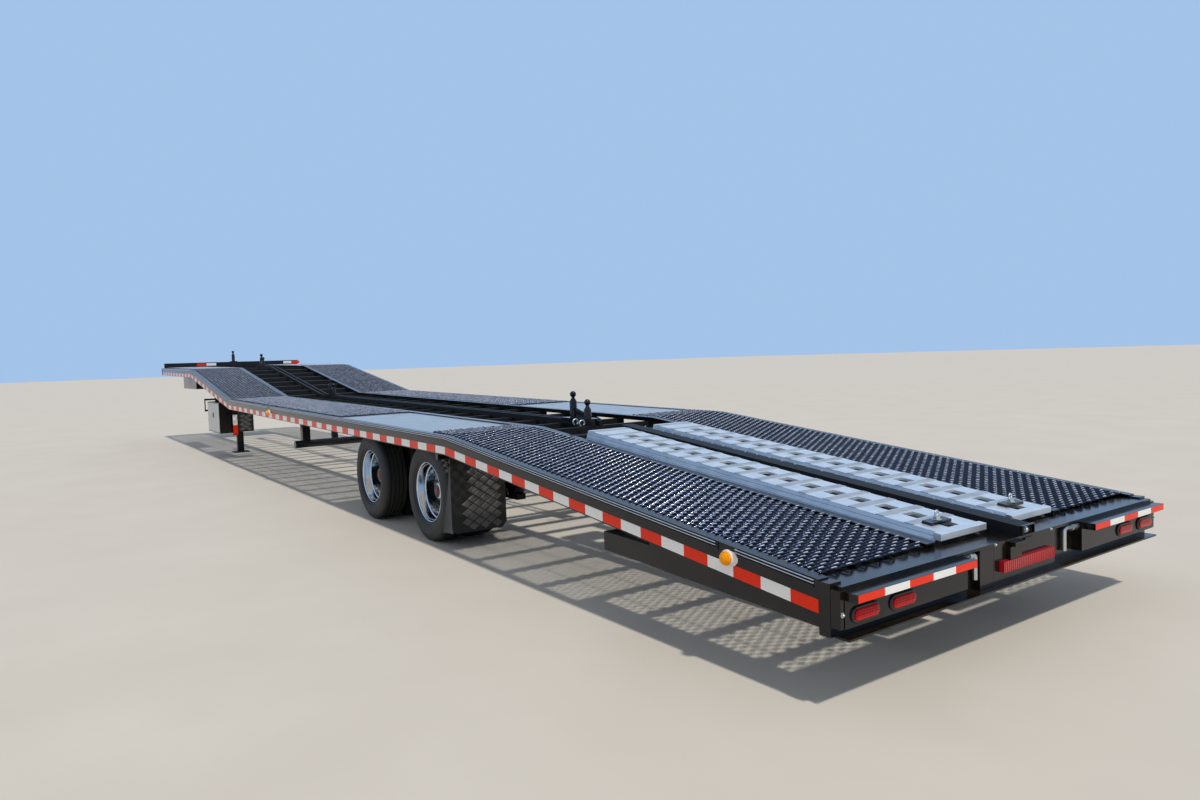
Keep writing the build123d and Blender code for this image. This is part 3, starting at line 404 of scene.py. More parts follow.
# Mill aluminium: planks are almost white under the sky, the ribbed bands and the webs a shade
# greyer. The die lines are drawn at 3 mm, coarser than real, so that they show.
plank_metal = mill_metal("mill_aluminium_plank", "#f4f6f8", "#d5dce3", 0.34, (300.0, 6.0, 60.0))
grip_metal = mill_metal("ribbed_aluminium_band", "#c6cacd", "#a2a8ad", 0.48, (420.0, 6.0, 60.0))
web_metal = mill_metal("mill_aluminium_web", "#c3cdd8", "#a3b0bf", 0.38, (5.0, 60.0, 260.0))
ramp_start, ramp_end = 0.092, 2.750
ramp_rise_rear, ramp_rise_front = 0.032, 0.048
ramp_middle = 0.288
ramp_foot_half, ramp_top_half = 0.180, 0.156
hole_pitch = 0.1524
hole_half = 0.042
hole_count = 16
first_hole = 0.178
band_half = 0.0242
band_rise = 0.0028
plank_wall = 0.014
web_wall = 0.005
well_floor = 0.0297
nose_rear, nose_front = ramp_start - 0.006, ramp_start + 0.030
nose_depth = 0.030
nose_bevel = 0.002


def gather(parts, form, kind=0):
    """Add a form's points and faces to a piece that is being collected, with the number of its finish."""
    points, faces = form[:2]
    parts[1].extend(tuple(index + len(parts[0]) for index in face) for face in faces)
    parts[0].extend(points)
    parts[2].extend([kind] * len(faces))


def between_rings(rings):
    """Points and faces of a closed form between rings of equal count, capped at both ends."""
    points = [point for ring in rings for point in ring]
    size = len(rings[0])
    faces = [(row * size + index, row * size + (index + 1) % size, (row + 1) * size + (index + 1) % size,
              (row + 1) * size + index) for row in range(len(rings) - 1) for index in range(size)]
    faces.append(tuple(range(size - 1, -1, -1)))
    faces.append(tuple((len(rings) - 1) * size + index for index in range(size)))
    return points, faces


def closed_piece(name, form, materials, sharp=None):
    """A closed piece with its doubled points merged and its faces turned outwards. It is shaded round
    between edges sharper than an angle in degrees, where that is given."""
    piece = add_piece(name, form, materials)
    work = bmesh.new()
    work.from_mesh(piece.data)
    bmesh.ops.remove_doubles(work, verts=work.verts, dist=1e-6)
    bmesh.ops.recalc_face_normals(work, faces=work.faces)
    work.to_mesh(piece.data)
    work.free()
    if sharp:
        piece.data.polygons.foreach_set("use_smooth", [True] * len(piece.data.polygons))
        piece.data.set_sharp_from_angle(angle=math.radians(sharp))
    return piece


def ramp_top(run):
    """Height of a stored ramp's planks at a run."""
    share = (run - ramp_start) / (ramp_end - ramp_start)
    return deck(run) + ramp_rise_rear + (ramp_rise_front - ramp_rise_rear) * share


def across_bar(profile, half, side):
    """A bar across one ramp, from a closed profile of (run, height over the planks) pairs."""
    return between_rings([[(rail_rear_x + run, side * (ramp_middle + end * half), ramp_top(run) + rise)
                           for run, rise in profile] for end in (-1, 1)])


def plain_plank(run_a, run_b, side):
    """A flat plank with no hole."""
    profile = [(run_a, 0), (run_b, 0), (run_b, -plank_wall), (run_a, -plank_wall)]
    return across_bar(profile, ramp_top_half, side)


def holed_plank(run_a, run_b, centre, side):
    """A flat plank with a square hole through it."""
    points, faces = [], []
    for rise in (0.0, -plank_wall):
        for run_low, run_high, half in ((run_a, run_b, ramp_top_half),
                                        (centre - hole_half, centre + hole_half, hole_half)):
            for run, y in ((run_low, -half), (run_high, -half), (run_high, half), (run_low, half)):
                points.append((rail_rear_x + run, side * (ramp_middle + y), ramp_top(run) + rise))
    for index in range(4):
        following = (index + 1) % 4
        faces += [(first + index, first + following, second + following, second + index)
                  for first, second in ((0, 4), (8, 12), (0, 8), (4, 12))]
    return points, faces


def web(edge, side):
    """One flared web under the planks, with two shallow grooves along its outer face."""
    section = ((0.0, 0.0), (0.28, 0.0), (0.32, 0.002), (0.36, 0.0), (0.62, 0.0), (0.66, 0.002), (0.70, 0.0),
               (1.0, 0.0), (1.0, web_wall), (0.0, web_wall))
    rings = []
    for run in (nose_front - 0.002, ramp_end):
        top = ramp_top(run) - 0.0005
        foot = deck(run) - well_floor
        outline = []
        for share, inset in section:
            half = ramp_top_half + (ramp_foot_half - ramp_top_half) * share - inset
            y = side * (ramp_middle + edge * half)
            outline.append((rail_rear_x + run, y, top + (foot - top) * share))
        rings.append(outline)
    return between_rings(rings)


plank_kind, grip_kind, web_kind = 0, 1, 2
for side_name, side in sides:
    parts = ([], [], [])
    plank_low = nose_front
    for index in range(hole_count + 1):
        centre = first_hole + hole_pitch * index
        low, high = centre + hole_pitch / 2 - band_half, centre + hole_pitch / 2 + band_half
        if index < hole_count:
            gather(parts, holed_plank(plank_low, low, centre, side), plank_kind)
        else:
            gather(parts, plain_plank(plank_low, low, side), plank_kind)
        gather(parts, across_bar([(low, 0), (low + 0.003, band_rise), (high - 0.002, band_rise), (high, 0),
                                  (high, -plank_wall), (low, -plank_wall)], ramp_top_half, side), grip_kind)
        plank_low = high
    gather(parts, plain_plank(plank_low, ramp_end, side), plank_kind)
    nose = [(nose_rear + nose_bevel, 0), (nose_front, 0),
            (nose_front, -nose_depth), (nose_rear + nose_bevel, -nose_depth),
            (nose_rear, nose_bevel - nose_depth), (nose_rear, -nose_bevel)]
    gather(parts, across_bar(nose, ramp_foot_half - 0.004, side), plank_kind)
    for edge in (-1, 1):
        gather(parts, web(edge, side), web_kind)
    ramp = closed_piece(f"stored_ramp_{side_name}", parts, [plank_metal, grip_metal, web_metal])
    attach(ramp, "chassis")
    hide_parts(f"ramp_{side_name}")

# Tyres: twin radial trailer tyres of black rubber. The tread has five ribs between four wide
# grooves, and the sidewall carries raised rings. Road dust dulls the rubber.
# Vulcanised rubber: a matt warm black, browner where dust lies, with no clear reflection.
tyre_rubber, tree, shader, place = new_material("vulcanised_tyre_rubber", {"IOR": 1.5})
dirt = add_node(tree, "ShaderNodeTexNoise", {"Vector": place, "Scale": 7.0, "Detail": 5.0})
tone = add_node(tree, "ShaderNodeMix", {
    "Factor": dirt, "A": linear("#141415"), "B": linear("#2b2926")}, data_type="RGBA")
matt = add_node(tree, "ShaderNodeMapRange", {"Value": dirt, "To Min": 0.48, "To Max": 0.75})
pores = add_node(tree, "ShaderNodeTexNoise", {"Vector": place, "Scale": 420.0, "Detail": 1.0})
relief = add_node(tree, "ShaderNodeBump", {"Height": pores, "Strength": 0.15, "Distance": 0.001})
set_inputs(tree, shader, {"Base Color": tone, "Roughness": matt, "Normal": relief})

axle_height = 0.366
axle_runs = (("front", 5.010), ("rear", 3.815))
tyre_middles = (1.086, 0.836)
tyre_radius = 0.366
groove_floor = 0.355
wheel_segments = 96


def turned(profile, run, height=axle_height, segments=wheel_segments):
    """Points and faces turned about a line across the trailer, from (side, radius) pairs."""
    points = [(rail_rear_x + run + radius * math.cos(angle), side, height + radius * math.sin(angle))
              for angle in (2 * math.pi * step / segments for step in range(segments))
              for side, radius in profile]
    size = len(profile)
    faces = [(step * size + index, step * size + (index + 1) % size,
              (step + 1) % segments * size + (index + 1) % size, (step + 1) % segments * size + index)
             for step in range(segments) for index in range(size)]
    return points, faces


# Side and radius of the shoulder, the raised rings and the bead of one sidewall
sidewall = [
    (0.0765, 0.3660), (0.0880, 0.3590), (0.0960, 0.3470), (0.1000, 0.3360), (0.1035, 0.3180),
    (0.1048, 0.3080), (0.1058, 0.3075), (0.1060, 0.3000), (0.1052, 0.2992), (0.1055, 0.2840),
    (0.1040, 0.2680), (0.1010, 0.2560), (0.1018, 0.2545), (0.1005, 0.2495), (0.0985, 0.2490),
    (0.0950, 0.2400), (0.0880, 0.2310), (0.0827, 0.2245),
]
grooves = [(centre + across, radius) for centre in (-0.051, -0.018, 0.018, 0.051) for across, radius in (
    (-0.0050, tyre_radius), (-0.0035, groove_floor), (0.0035, groove_floor), (0.0050, tyre_radius))]
tyre_profile = [(-across, radius) for across, radius in reversed(sidewall)] + grooves + sidewall
for axle_name, run in axle_runs:
    for side_name, side in sides:
        parts = ([], [], [])
        for middle in tyre_middles:
            profile = [(side * (middle + across), radius) for across, radius in tyre_profile]
            gather(parts, turned(profile, run))
        tyres = closed_piece(f"road_tyres_{axle_name}_{side_name}", parts, [tyre_rubber], 35)
        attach(tyres, f"wheels_{axle_name}_{side_name}")
        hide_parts(f"tyres_{axle_name}_{side_name}")

# Wheels: forged aluminium rims, polished to a mirror on the outer dish, bolted to a black cast
# hub with its drum behind. Ten flanged nuts hold them, and a red plug closes the oil cap.
# Polished aluminium: a mirror with faint smears, so the dish shows floor, sky and tyre.
mirror_rim, tree, shader, place = new_material("polished_aluminium_rim", {
    "Metallic": 1.0, "Base Color": linear("#dadde0")})
smear = add_node(tree, "ShaderNodeTexNoise", {"Vector": place, "Scale": 16.0, "Detail": 4.0})
haze = add_node(tree, "ShaderNodeMapRange", {"Value": smear, "To Min": 0.05, "To Max": 0.16})
set_inputs(tree, shader, {"Roughness": haze})

# Painted sand casting: half-gloss black over a pebbled skin, which breaks up its highlights.
hub_casting = mottled("painted_hub_casting", {"IOR": 1.5, "Roughness": 0.38}, 90.0, 3.0,
                      ("#121314", "#26272a"), relief=(0.3, 0.001))
# Zinc plating: a silvery metal with a cloudy bloom, brighter than any steel round it.
zinc_plate = mottled("zinc_plated_steel", {"Metallic": 1.0}, 60.0, 4.0,
                     ("#b9bdbf", "#dcdedb"), roughness=(0.22, 0.42))
# Moulded rubber plug: a small soft spot of red in the middle of the black cap.
red_plug = mottled("red_rubber_plug", {"Roughness": 0.45}, 50.0, 2.0, ("#a3151a", "#c9262a"))

# Side and radius of each corner, once round the section of a wheel, with the finish that follows
# it: barrel and dish, drum face and hub, bright ring, oil cap, plug, inside of hub and drum,
# and the inner side of the rim.
rim_kind, casting_kind, plug_kind = 0, 1, 2
wheel_section = (
    (rim_kind, ((0.7510, 0.2240), (1.1700, 0.2240), (1.1735, 0.2215), (1.1740, 0.2185), (1.1715, 0.2155),
                (1.1640, 0.2140), (1.1500, 0.2115), (1.1100, 0.2040), (1.1050, 0.1975), (1.0300, 0.1960),
                (1.0000, 0.1950), (0.9840, 0.1900), (0.9780, 0.1830))),
    (casting_kind, ((0.9760, 0.1760), (0.9760, 0.1200), (0.9760, 0.1120), (0.9900, 0.1100),
                    (0.9930, 0.0900), (1.0100, 0.0840), (1.0800, 0.0790), (1.0840, 0.0700))),
    (rim_kind, ((1.0840, 0.0620), (1.0950, 0.0600))),
    (casting_kind, ((1.1040, 0.0500), (1.1060, 0.0240))),
    (plug_kind, ((1.1050, 0.0200), (1.1110, 0.0170), (1.1110, 0.0001))),
    (casting_kind, ((1.0770, 0.0001), (1.0770, 0.0386), (0.9490, 0.0386), (0.9490, 0.1640),
                    (0.7450, 0.1640), (0.7450, 0.1780), (0.9490, 0.1780))),
    (rim_kind, ((0.9490, 0.1920), (0.9000, 0.2040), (0.7560, 0.2140), (0.7510, 0.2160))),
)
wheel_kinds = [kind for kind, corners in wheel_section for corner in corners]
nut_seat = 0.976
nut_count = 10
nut_circle = 0.1429

nut_ring, given = new_tree("nut_ring", (
    ("Nuts", "Int"), ("Circle radius", "Float"), ("Centre", "Vector"), ("Turn", "Vector")))
circle = add_node(nut_ring, "GeometryNodeMeshCircle", {
    "Vertices": given["Nuts"], "Radius": given["Circle radius"]})
repeated = add_node(nut_ring, "GeometryNodeInstanceOnPoints", {"Points": circle, "Instance": given["Piece"]})
laid = add_node(nut_ring, "GeometryNodeTransform", {
    "Geometry": repeated, "Translation": given["Centre"], "Rotation": given["Turn"]})
end_tree(nut_ring, laid, given["Finish"])


def round_ring(radius, height, count, centre=(0, 0), turn=0.0):
    """A ring of points about an upright line."""
    angles = [turn + 2 * math.pi * step / count for step in range(count)]
    return [(centre[0] + radius * math.cos(angle), centre[1] + radius * math.sin(angle), height)
            for angle in angles]


def hex_nut(flats, height, stud, stud_reach):
    """A nut on a washer with its stud, standing up from zero height."""
    washer, corner = flats * 0.72, flats * 0.577
    washer_top = height * 0.16
    tip = height + stud_reach
    parts = ([], [], [])
    for count, rings in ((16, ((washer, 0), (washer, washer_top))),
                         (6, ((corner, washer_top), (corner, height * 0.9), (flats * 0.5, height))),
                         (10, ((stud, height), (stud, tip), (stud * 0.7, tip + 0.001)))):
        gather(parts, between_rings([round_ring(radius, rise, count) for radius, rise in rings]))
    return parts


for axle_name, run in axle_runs:
    for side_name, side in sides:
        profile = [(side * out, radius) for kind, corners in wheel_section for out, radius in corners]
        wheel = closed_piece(f"rim_and_hub_{axle_name}_{side_name}", (
            *turned(profile, run), wheel_kinds * wheel_segments), [mirror_rim, hub_casting, red_plug], 40)
        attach(wheel, f"wheels_{axle_name}_{side_name}")
        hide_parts(f"rims_{axle_name}_{side_name}")
        nut = closed_piece("nut", hex_nut(0.033, 0.024, 0.011, 0.014), [zinc_plate])
        mesh = run_tree(nut, nut_ring, {
            "Nuts": nut_count, "Circle radius": nut_circle,
            "Centre": (rail_rear_x + run, side * nut_seat, axle_height),
            "Turn": (-side * math.pi / 2, 0.0, 0.0), "Finish": zinc_plate})
        nuts = joined(f"wheel_nuts_{axle_name}_{side_name}", [mesh], zinc_plate)
        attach(nuts, f"wheels_{axle_name}_{side_name}")

# Side tape: retroreflective sheeting stuck along each rail in 6 inch blocks, red and white by
# turns. At the rear bend a red block ends and a white one starts. The sheeting has a fine
# pattern of cells.


def sheeting(name, colour, seam):
    """Reflective plastic sheeting of one colour, with its cells drawn at 4 mm so that they show."""
    material, tree, shader, place = new_material(name, {"Roughness": 0.3, "Specular Tint": linear(colour)})
    cells = add_node(tree, "ShaderNodeTexVoronoi", {
        "Vector": place, "Scale": 250.0}, feature="DISTANCE_TO_EDGE")
    lines = add_node(tree, "ShaderNodeMapRange", {"Value": cells, "From Max": 0.12})
    shade = add_node(tree, "ShaderNodeMix", {
        "Factor": lines, "A": linear(seam), "B": linear(colour)}, data_type="RGBA")
    relief = add_node(tree, "ShaderNodeBump", {"Height": cells, "Strength": 0.1, "Distance": 0.0005})
    set_inputs(tree, shader, {"Base Color": shade, "Normal": relief})
    return material


# Reflective sheeting: it throws light back, so red and white stay bright on the shaded side.
red_tape = sheeting("red_reflective_sheeting", "#f23a20", "#cf2c18")
white_tape = sheeting("white_reflective_sheeting", "#f4f5f4", "#d2d5d8")
red_kind, white_kind = 0, 1
tape_block = 0.1524
tape_height = 0.0508
tape_drop = 0.100
tape_start, tape_end = 0.053, 15.93
rail_face, tape_face = 1.2908, 1.2918
rear_bend_run = deck_line[1][0]


def tape_strip(name, blocks):
    """One piece from (outline, opposite outline, kind of finish) blocks of tape."""
    parts = ([], [], [])
    for outline, opposite, kind in blocks:
        gather(parts, between_rings([outline, opposite]), kind)
    strip = closed_piece(name, parts, [red_tape, white_tape])
    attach(strip, "chassis")


first_block = math.floor((tape_start - rear_bend_run) / tape_block)
last_block = math.ceil((tape_end - rear_bend_run) / tape_block)
cuts = [tape_start] + [run for run, height in deck_line[1:-1]] + [tape_end]
cuts += [rear_bend_run + tape_block * index for index in range(first_block, last_block)]
cuts = sorted({round(run, 5) for run in cuts if tape_start <= run <= tape_end})
for side_name, side in sides:
    blocks = []
    for run_a, run_b in zip(cuts, cuts[1:]):
        index = math.floor(((run_a + run_b) / 2 - rear_bend_run) / tape_block)
        outlines = [[(rail_rear_x + run, side * y, deck(run) - tape_drop + offset * tape_height / 2)
                     for run, offset in ((run_a, -1), (run_b, -1), (run_b, 1), (run_a, 1))]
                    for y in (rail_face, tape_face)]
        blocks.append((*outlines, red_kind if index % 2 else white_kind))
    tape_strip(f"side_tape_{side_name}", blocks)


def face_tape(name, x, rows):
    """Tape blocks on a face that looks rearwards, from (y low, y high, z low, z high, kind) rows."""
    blocks = []
    for y_low, y_high, z_low, z_high, kind in rows:
        corners = ((y_low, z_low), (y_high, z_low), (y_high, z_high), (y_low, z_high))
        blocks.append(([(x, y, z) for y, z in corners], [(x - 0.0008, y, z) for y, z in corners], kind))
    tape_strip(name, blocks)


shelf_start, shelf_block = 0.5075, 0.1506
shelf_rows = []
for side in (1, -1):
    for index in range(5):
        ends = sorted(side * (shelf_start + shelf_block * block) for block in (index, index + 1))
        shelf_rows.append((*ends, 0.4315, 0.4605, index % 2))
face_tape("tail_tape", rail_rear_x - 0.1001, shelf_rows)
face_tape("nose_tape", rail_rear_x + rail_length + 0.0399, [
    (y_low, y_high, 1.40, 1.45, kind) for y_low, y_high, kind in (
        (0.505, 0.680, red_kind), (0.330, 0.505, white_kind), (-1.120, -0.960, white_kind),
        (-1.285, -1.120, red_kind))])
face_tape("guard_tape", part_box("leg_guard")[0].x - 0.0001, [
    (0.989, 1.051, 0.352, 0.50, red_kind), (0.989, 1.051, 0.50, 0.65, white_kind)])

# Lamps: sealed oval lamps of red acrylic in black rubber grommets, a ribbed light bar in the
# middle, and round amber side markers. Light scatters in the ribs moulded behind each lens.


def lens(name, colour, deep, scale):
    """Clear coloured acrylic over moulded ribs."""
    material, tree, shader, place = new_material(name, {
        "Roughness": 0.12, "IOR": 1.49, "Specular Tint": linear(colour)})
    ribs = add_node(tree, "ShaderNodeTexVoronoi", {"Vector": place, "Scale": scale, "Randomness": 0.0})
    share = add_node(tree, "ShaderNodeMapRange", {"Value": ribs, "From Min": 0.25, "From Max": 0.65})
    shade = add_node(tree, "ShaderNodeMix", {
        "Factor": share, "A": linear(colour), "B": linear(deep)}, data_type="RGBA")
    relief = add_node(tree, "ShaderNodeBump", {"Height": ribs, "Strength": 0.5, "Distance": 0.002})
    set_inputs(tree, shader, {"Base Color": shade, "Normal": relief})
    return material


# Moulded acrylic: cells behind the clear face break the colour into bright and deep spots.
red_lens = lens("red_acrylic_lens", "#dc1620", "#5a0509", 110.0)
amber_lens = lens("amber_acrylic_lens", "#ffb628", "#f08600", 120.0)
# Moulded grommet rubber: soft satin black, its round rim catches a thin light line.
grommet_rubber = mottled("grommet_rubber", {"Roughness": 0.3}, 80.0, 2.0, ("#161617", "#2c2c2d"))
# Moulded nylon: an even milky white that sets the amber lens off from the black rail.
pale_plastic = mottled("pale_moulded_nylon", {"Roughness": 0.4}, 30.0, 3.0, ("#cfd2d3", "#eceeee"))

# Ribbed acrylic: upright ribs break the red into fine light and dark stripes.
ribbed_lens, tree, shader, place = new_material("ribbed_red_lens", {
    "Roughness": 0.12, "IOR": 1.49, "Specular Tint": linear("#d3222b")})
rib_pitch = 0.008
across = add_node(tree, "ShaderNodeSeparateXYZ", {"Vector": place}).outputs["Y"]
ribs = add_node(tree, "ShaderNodeMath", {0: across, 1: rib_pitch}, operation="PINGPONG")
ribs = add_node(tree, "ShaderNodeMapRange", {"Value": ribs, "From Max": rib_pitch})
shade = add_node(tree, "ShaderNodeMix", {
    "Factor": ribs, "A": linear("#4d060b"), "B": linear("#d3222b")}, data_type="RGBA")
relief = add_node(tree, "ShaderNodeBump", {"Height": ribs, "Strength": 0.6, "Distance": 0.003})
set_inputs(tree, shader, {"Base Color": shade, "Normal": relief})
paint(("light_bar",), ribbed_lens)

lamp_face = rail_rear_x - 0.0473
lamp_sides = (1.155, 0.930)
lamp_level = 0.370


def stadium(length, width, x, centre):
    """An oval outline with straight sides in the plane of the tail."""
    radius = width / 2
    outline = []
    for step in range(24):
        angle = math.pi * (step + 0.5) / 12
        across = radius * math.cos(angle) + math.copysign(length / 2 - radius, math.cos(angle))
        outline.append((x, centre[0] + across, centre[1] + radius * math.sin(angle)))
    return outline


def ovals(steps):
    """The forms of all four oval lamps, from the length, width and reach of each step."""
    parts = ([], [], [])
    for side in (1, -1):
        for y in lamp_sides:
            gather(parts, between_rings([stadium(length, width, lamp_face - out, (side * y, lamp_level))
                                         for length, width, out in steps]))
    return parts


lens_steps = ((0.145, 0.045, 0.0), (0.145, 0.045, 0.0090), (0.138, 0.038, 0.0125), (0.115, 0.018, 0.0138))
lamps = closed_piece("oval_lamp_lenses", ovals(lens_steps), [red_lens])
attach(lamps, "chassis")
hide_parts("stop_lamps")
rim_steps = ((0.165, 0.063, 0.0), (0.165, 0.063, 0.0040), (0.158, 0.057, 0.0075), (0.150, 0.050, 0.0080))
grommets = closed_piece("lamp_grommets", ovals(rim_steps), [grommet_rubber])
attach(grommets, "chassis")

# Side and radius of the steps of a domed marker lens, and of its round base
beehive = ((1.2955, 0.0001), (1.2955, 0.0300), (1.3060, 0.0300), (1.3075, 0.0285), (1.3120, 0.0285),
           (1.3135, 0.0255), (1.3175, 0.0250), (1.3190, 0.0205), (1.3220, 0.0200), (1.3235, 0.0140),
           (1.3255, 0.0130), (1.3260, 0.0001))
base = ((1.2912, 0.0001), (1.2912, 0.0350), (1.2990, 0.0345), (1.3020, 0.0310), (1.3020, 0.0001))
tab = ((0.0, 0.034), (0.0, -0.034), (0.040, -0.026), (0.058, -0.008), (0.058, 0.010), (0.040, 0.028))
marker_parts, bracket_parts = ([], [], []), ([], [], [])
for run, height in ((0.520, 0.488), (7.920, 0.816)):
    for side in (1, -1):
        for parts, profile in ((marker_parts, beehive), (bracket_parts, base)):
            gather(parts, turned([(side * out, radius) for out, radius in profile], run, height, 40))
        gather(bracket_parts, between_rings([
            [(rail_rear_x + run - back, side * y, height + rise) for back, rise in tab]
            for y in (1.2912, 1.2945)]))
markers = closed_piece("beehive_markers", marker_parts, [amber_lens])
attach(markers, "chassis")
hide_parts("side_markers")
brackets = closed_piece("marker_brackets", bracket_parts, [pale_plastic])
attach(brackets, "chassis")

# Mud flaps: moulded rubber sheets with raised diamond pads, bolted to a bar behind the wheels.
# A smooth band runs down across the pads, and dust lies on the rubber in clouds.
# Groove rubber stays near black, and the scuffed pad faces stand out against it in dusty grey.
flap_rubber = mottled("moulded_flap_rubber", {"Roughness": 0.6}, 11.0, 5.0,
                      ("#101011", "#242322"), relief=(0.2, 0.002))
pad_rubber = mottled("scuffed_pad_rubber", {"Roughness": 0.5}, 11.0, 5.0,
                     ("#4a4a4c", "#666665"), relief=(0.2, 0.002))
# Curled edge rubber: a lighter grey than the flap, a painted highlight for the sun on its bent face.
curl_highlight_rubber = mottled("curl_rubber_painted_sunlight", {"Roughness": 0.55}, 11.0, 5.0,
                      ("#3a3a3b", "#58585a"), relief=(0.2, 0.002))
paint(("mud_flap_left", "mud_flap_right", "leg_guard_flap"), flap_rubber)

pad_sheet, given = new_tree("diamond_pads", (
    ("Columns", "Int"), ("Rows", "Int"), ("Pitch", "Vector"), ("Corner", "Vector")))
pitches = add_node(pad_sheet, "ShaderNodeSeparateXYZ", {0: given["Pitch"]}).outputs
along_row = add_node(pad_sheet, "ShaderNodeCombineXYZ", {"Y": pitches["Y"]})
up_column = add_node(pad_sheet, "ShaderNodeCombineXYZ", {"Z": pitches["Z"]})
column = add_node(pad_sheet, "GeometryNodeMeshLine", {
    "Count": given["Rows"], "Offset": up_column}, mode="OFFSET")
row = add_node(pad_sheet, "GeometryNodeMeshLine", {
    "Count": given["Columns"], "Offset": along_row}, mode="OFFSET")
stack = add_node(pad_sheet, "GeometryNodeInstanceOnPoints", {"Points": column, "Instance": given["Piece"]})
grid = add_node(pad_sheet, "GeometryNodeInstanceOnPoints", {"Points": row, "Instance": stack})
laid = add_node(pad_sheet, "GeometryNodeTransform", {"Geometry": grid, "Translation": given["Corner"]})
end_tree(pad_sheet, laid, given["Finish"])

pad_across, pad_up = 0.094, 0.064
pad_share = 0.44
margin_share = 0.62


def diamond_pads(name, node, band):
    """Raised pads on the rear face of a flap, in two offset grids. A band, given by its place at the
    foot, its lean and its half width as shares of the flap, is left smooth."""
    low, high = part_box(node)
    columns = int((high.y - low.y - 2 * margin_share * pad_across) / pad_across) + 1
    rows = int((high.z - low.z - 2 * margin_share * pad_up) / pad_up) + 1
    first_y = (low.y + high.y - (columns - 1) * pad_across) / 2
    first_z = low.z + margin_share * pad_up
    rings = [[(x, pad_across * pad_share * grow * y, pad_up * pad_share * grow * z)
              for y, z in ((1, 0), (0, 1), (-1, 0), (0, -1))]
             for x, grow in ((0.0, 1.0), (-0.0025, 0.88), (-0.003, 0.74))]
    meshes = []
    for shift, fewer in ((0.0, 0), (0.5, 1)):
        pad = closed_piece("pad", between_rings(rings), [pad_rubber])
        corner = (low.x, first_y + shift * pad_across, first_z + shift * pad_up)
        meshes.append(run_tree(pad, pad_sheet, {
            "Columns": columns - fewer, "Rows": rows - fewer, "Pitch": (0.0, pad_across, pad_up),
            "Corner": corner, "Finish": pad_rubber}))
    pads = joined(name, meshes, pad_rubber)
    work = bmesh.new()
    work.from_mesh(pads.data)
    waiting = []
    for vertex in work.verts:
        share_y = (vertex.co.y - low.y) / (high.y - low.y)
        share_z = (vertex.co.z - low.z) / (high.z - low.z)
        if band and abs(share_y - band[0] - band[1] * share_z) < band[2]:
            waiting.append(vertex)
    in_band = set()
    while waiting:
        vertex = waiting.pop()
        if vertex not in in_band:
            in_band.add(vertex)
            waiting += [edge.other_vert(vertex) for edge in vertex.link_edges]
    bmesh.ops.delete(work, geom=list(in_band), context="VERTS")
    work.to_mesh(pads.data)
    work.free()
    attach(pads, "chassis")


diamond_pads("flap_pads_left", "mud_flap_left", (0.93, -0.06, 0.09))
diamond_pads("flap_pads_right", "mud_flap_right", (0.07, 0.06, 0.09))
diamond_pads("guard_flap_pads", "leg_guard_flap", None)


def turns(start, stop, step):
    """Angles in radians from a range in degrees."""
    return [math.radians(degrees) for degrees in range(start, stop, step)]


# The outer edge of each flap curls forward round the tyre, most at its foot.
flap_run, flap_edge, flap_wall = 3.349, 1.2065, 0.007
curl_parts = ([], [], [])
for side in (1, -1):
    rings = []
    for z, curl in ((0.128, 0.090), (0.240, 0.070), (0.360, 0.046), (0.480, 0.024), (0.620, 0.004)):
        arc = [(flap_run + curl * math.sin(turn), flap_edge + 0.35 * curl * (1 - math.cos(turn)))
               for turn in turns(0, 91, 15)]
        outline = arc + [(run, y - flap_wall) for run, y in reversed(arc)]
        rings.append([(rail_rear_x + run, side * y, z) for run, y in outline])
    gather(curl_parts, between_rings(rings))
curls = closed_piece("flap_curled_edges", curl_parts, [curl_highlight_rubber], 40)
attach(curls, "chassis")

# Locking pins: bent round bars of zinc plated steel with two collars, that stand out of the lamp
# boxes. Zinc bolts sit on the corner posts and the header, and an eye bolt with a black bar
# washer holds each ramp down.
pin_x = rail_rear_x - 0.014
pin_level = 0.446
pin_bend = 0.016
pin_radius = 0.012
collar_radius = 0.022
hold_run, hold_side = 0.205, 0.310
washer_run_half, washer_side_half = 0.025, 0.075
washer_rise = 0.013


def bar(points, radius, count=16):
    """Points and faces of a round bar through points in the plane of the tail."""
    rings = []
    for index, point in enumerate(points):
        before = points[max(index - 1, 0)]
        after = points[min(index + 1, len(points) - 1)]
        side_way = Vector((1, 0, 0))
        up_way = (Vector(after) - Vector(before)).normalized().cross(side_way)
        rings.append([tuple(Vector(point) + radius * (math.cos(turn) * side_way + math.sin(turn) * up_way))
                      for turn in (2 * math.pi * step / count for step in range(count))])
    return between_rings(rings)


def rearward(nut, x, y, z):
    """A nut laid on a face that looks rearwards."""
    return [(x - up, y + across, z + rise) for across, rise, up in nut[0]], nut[1]


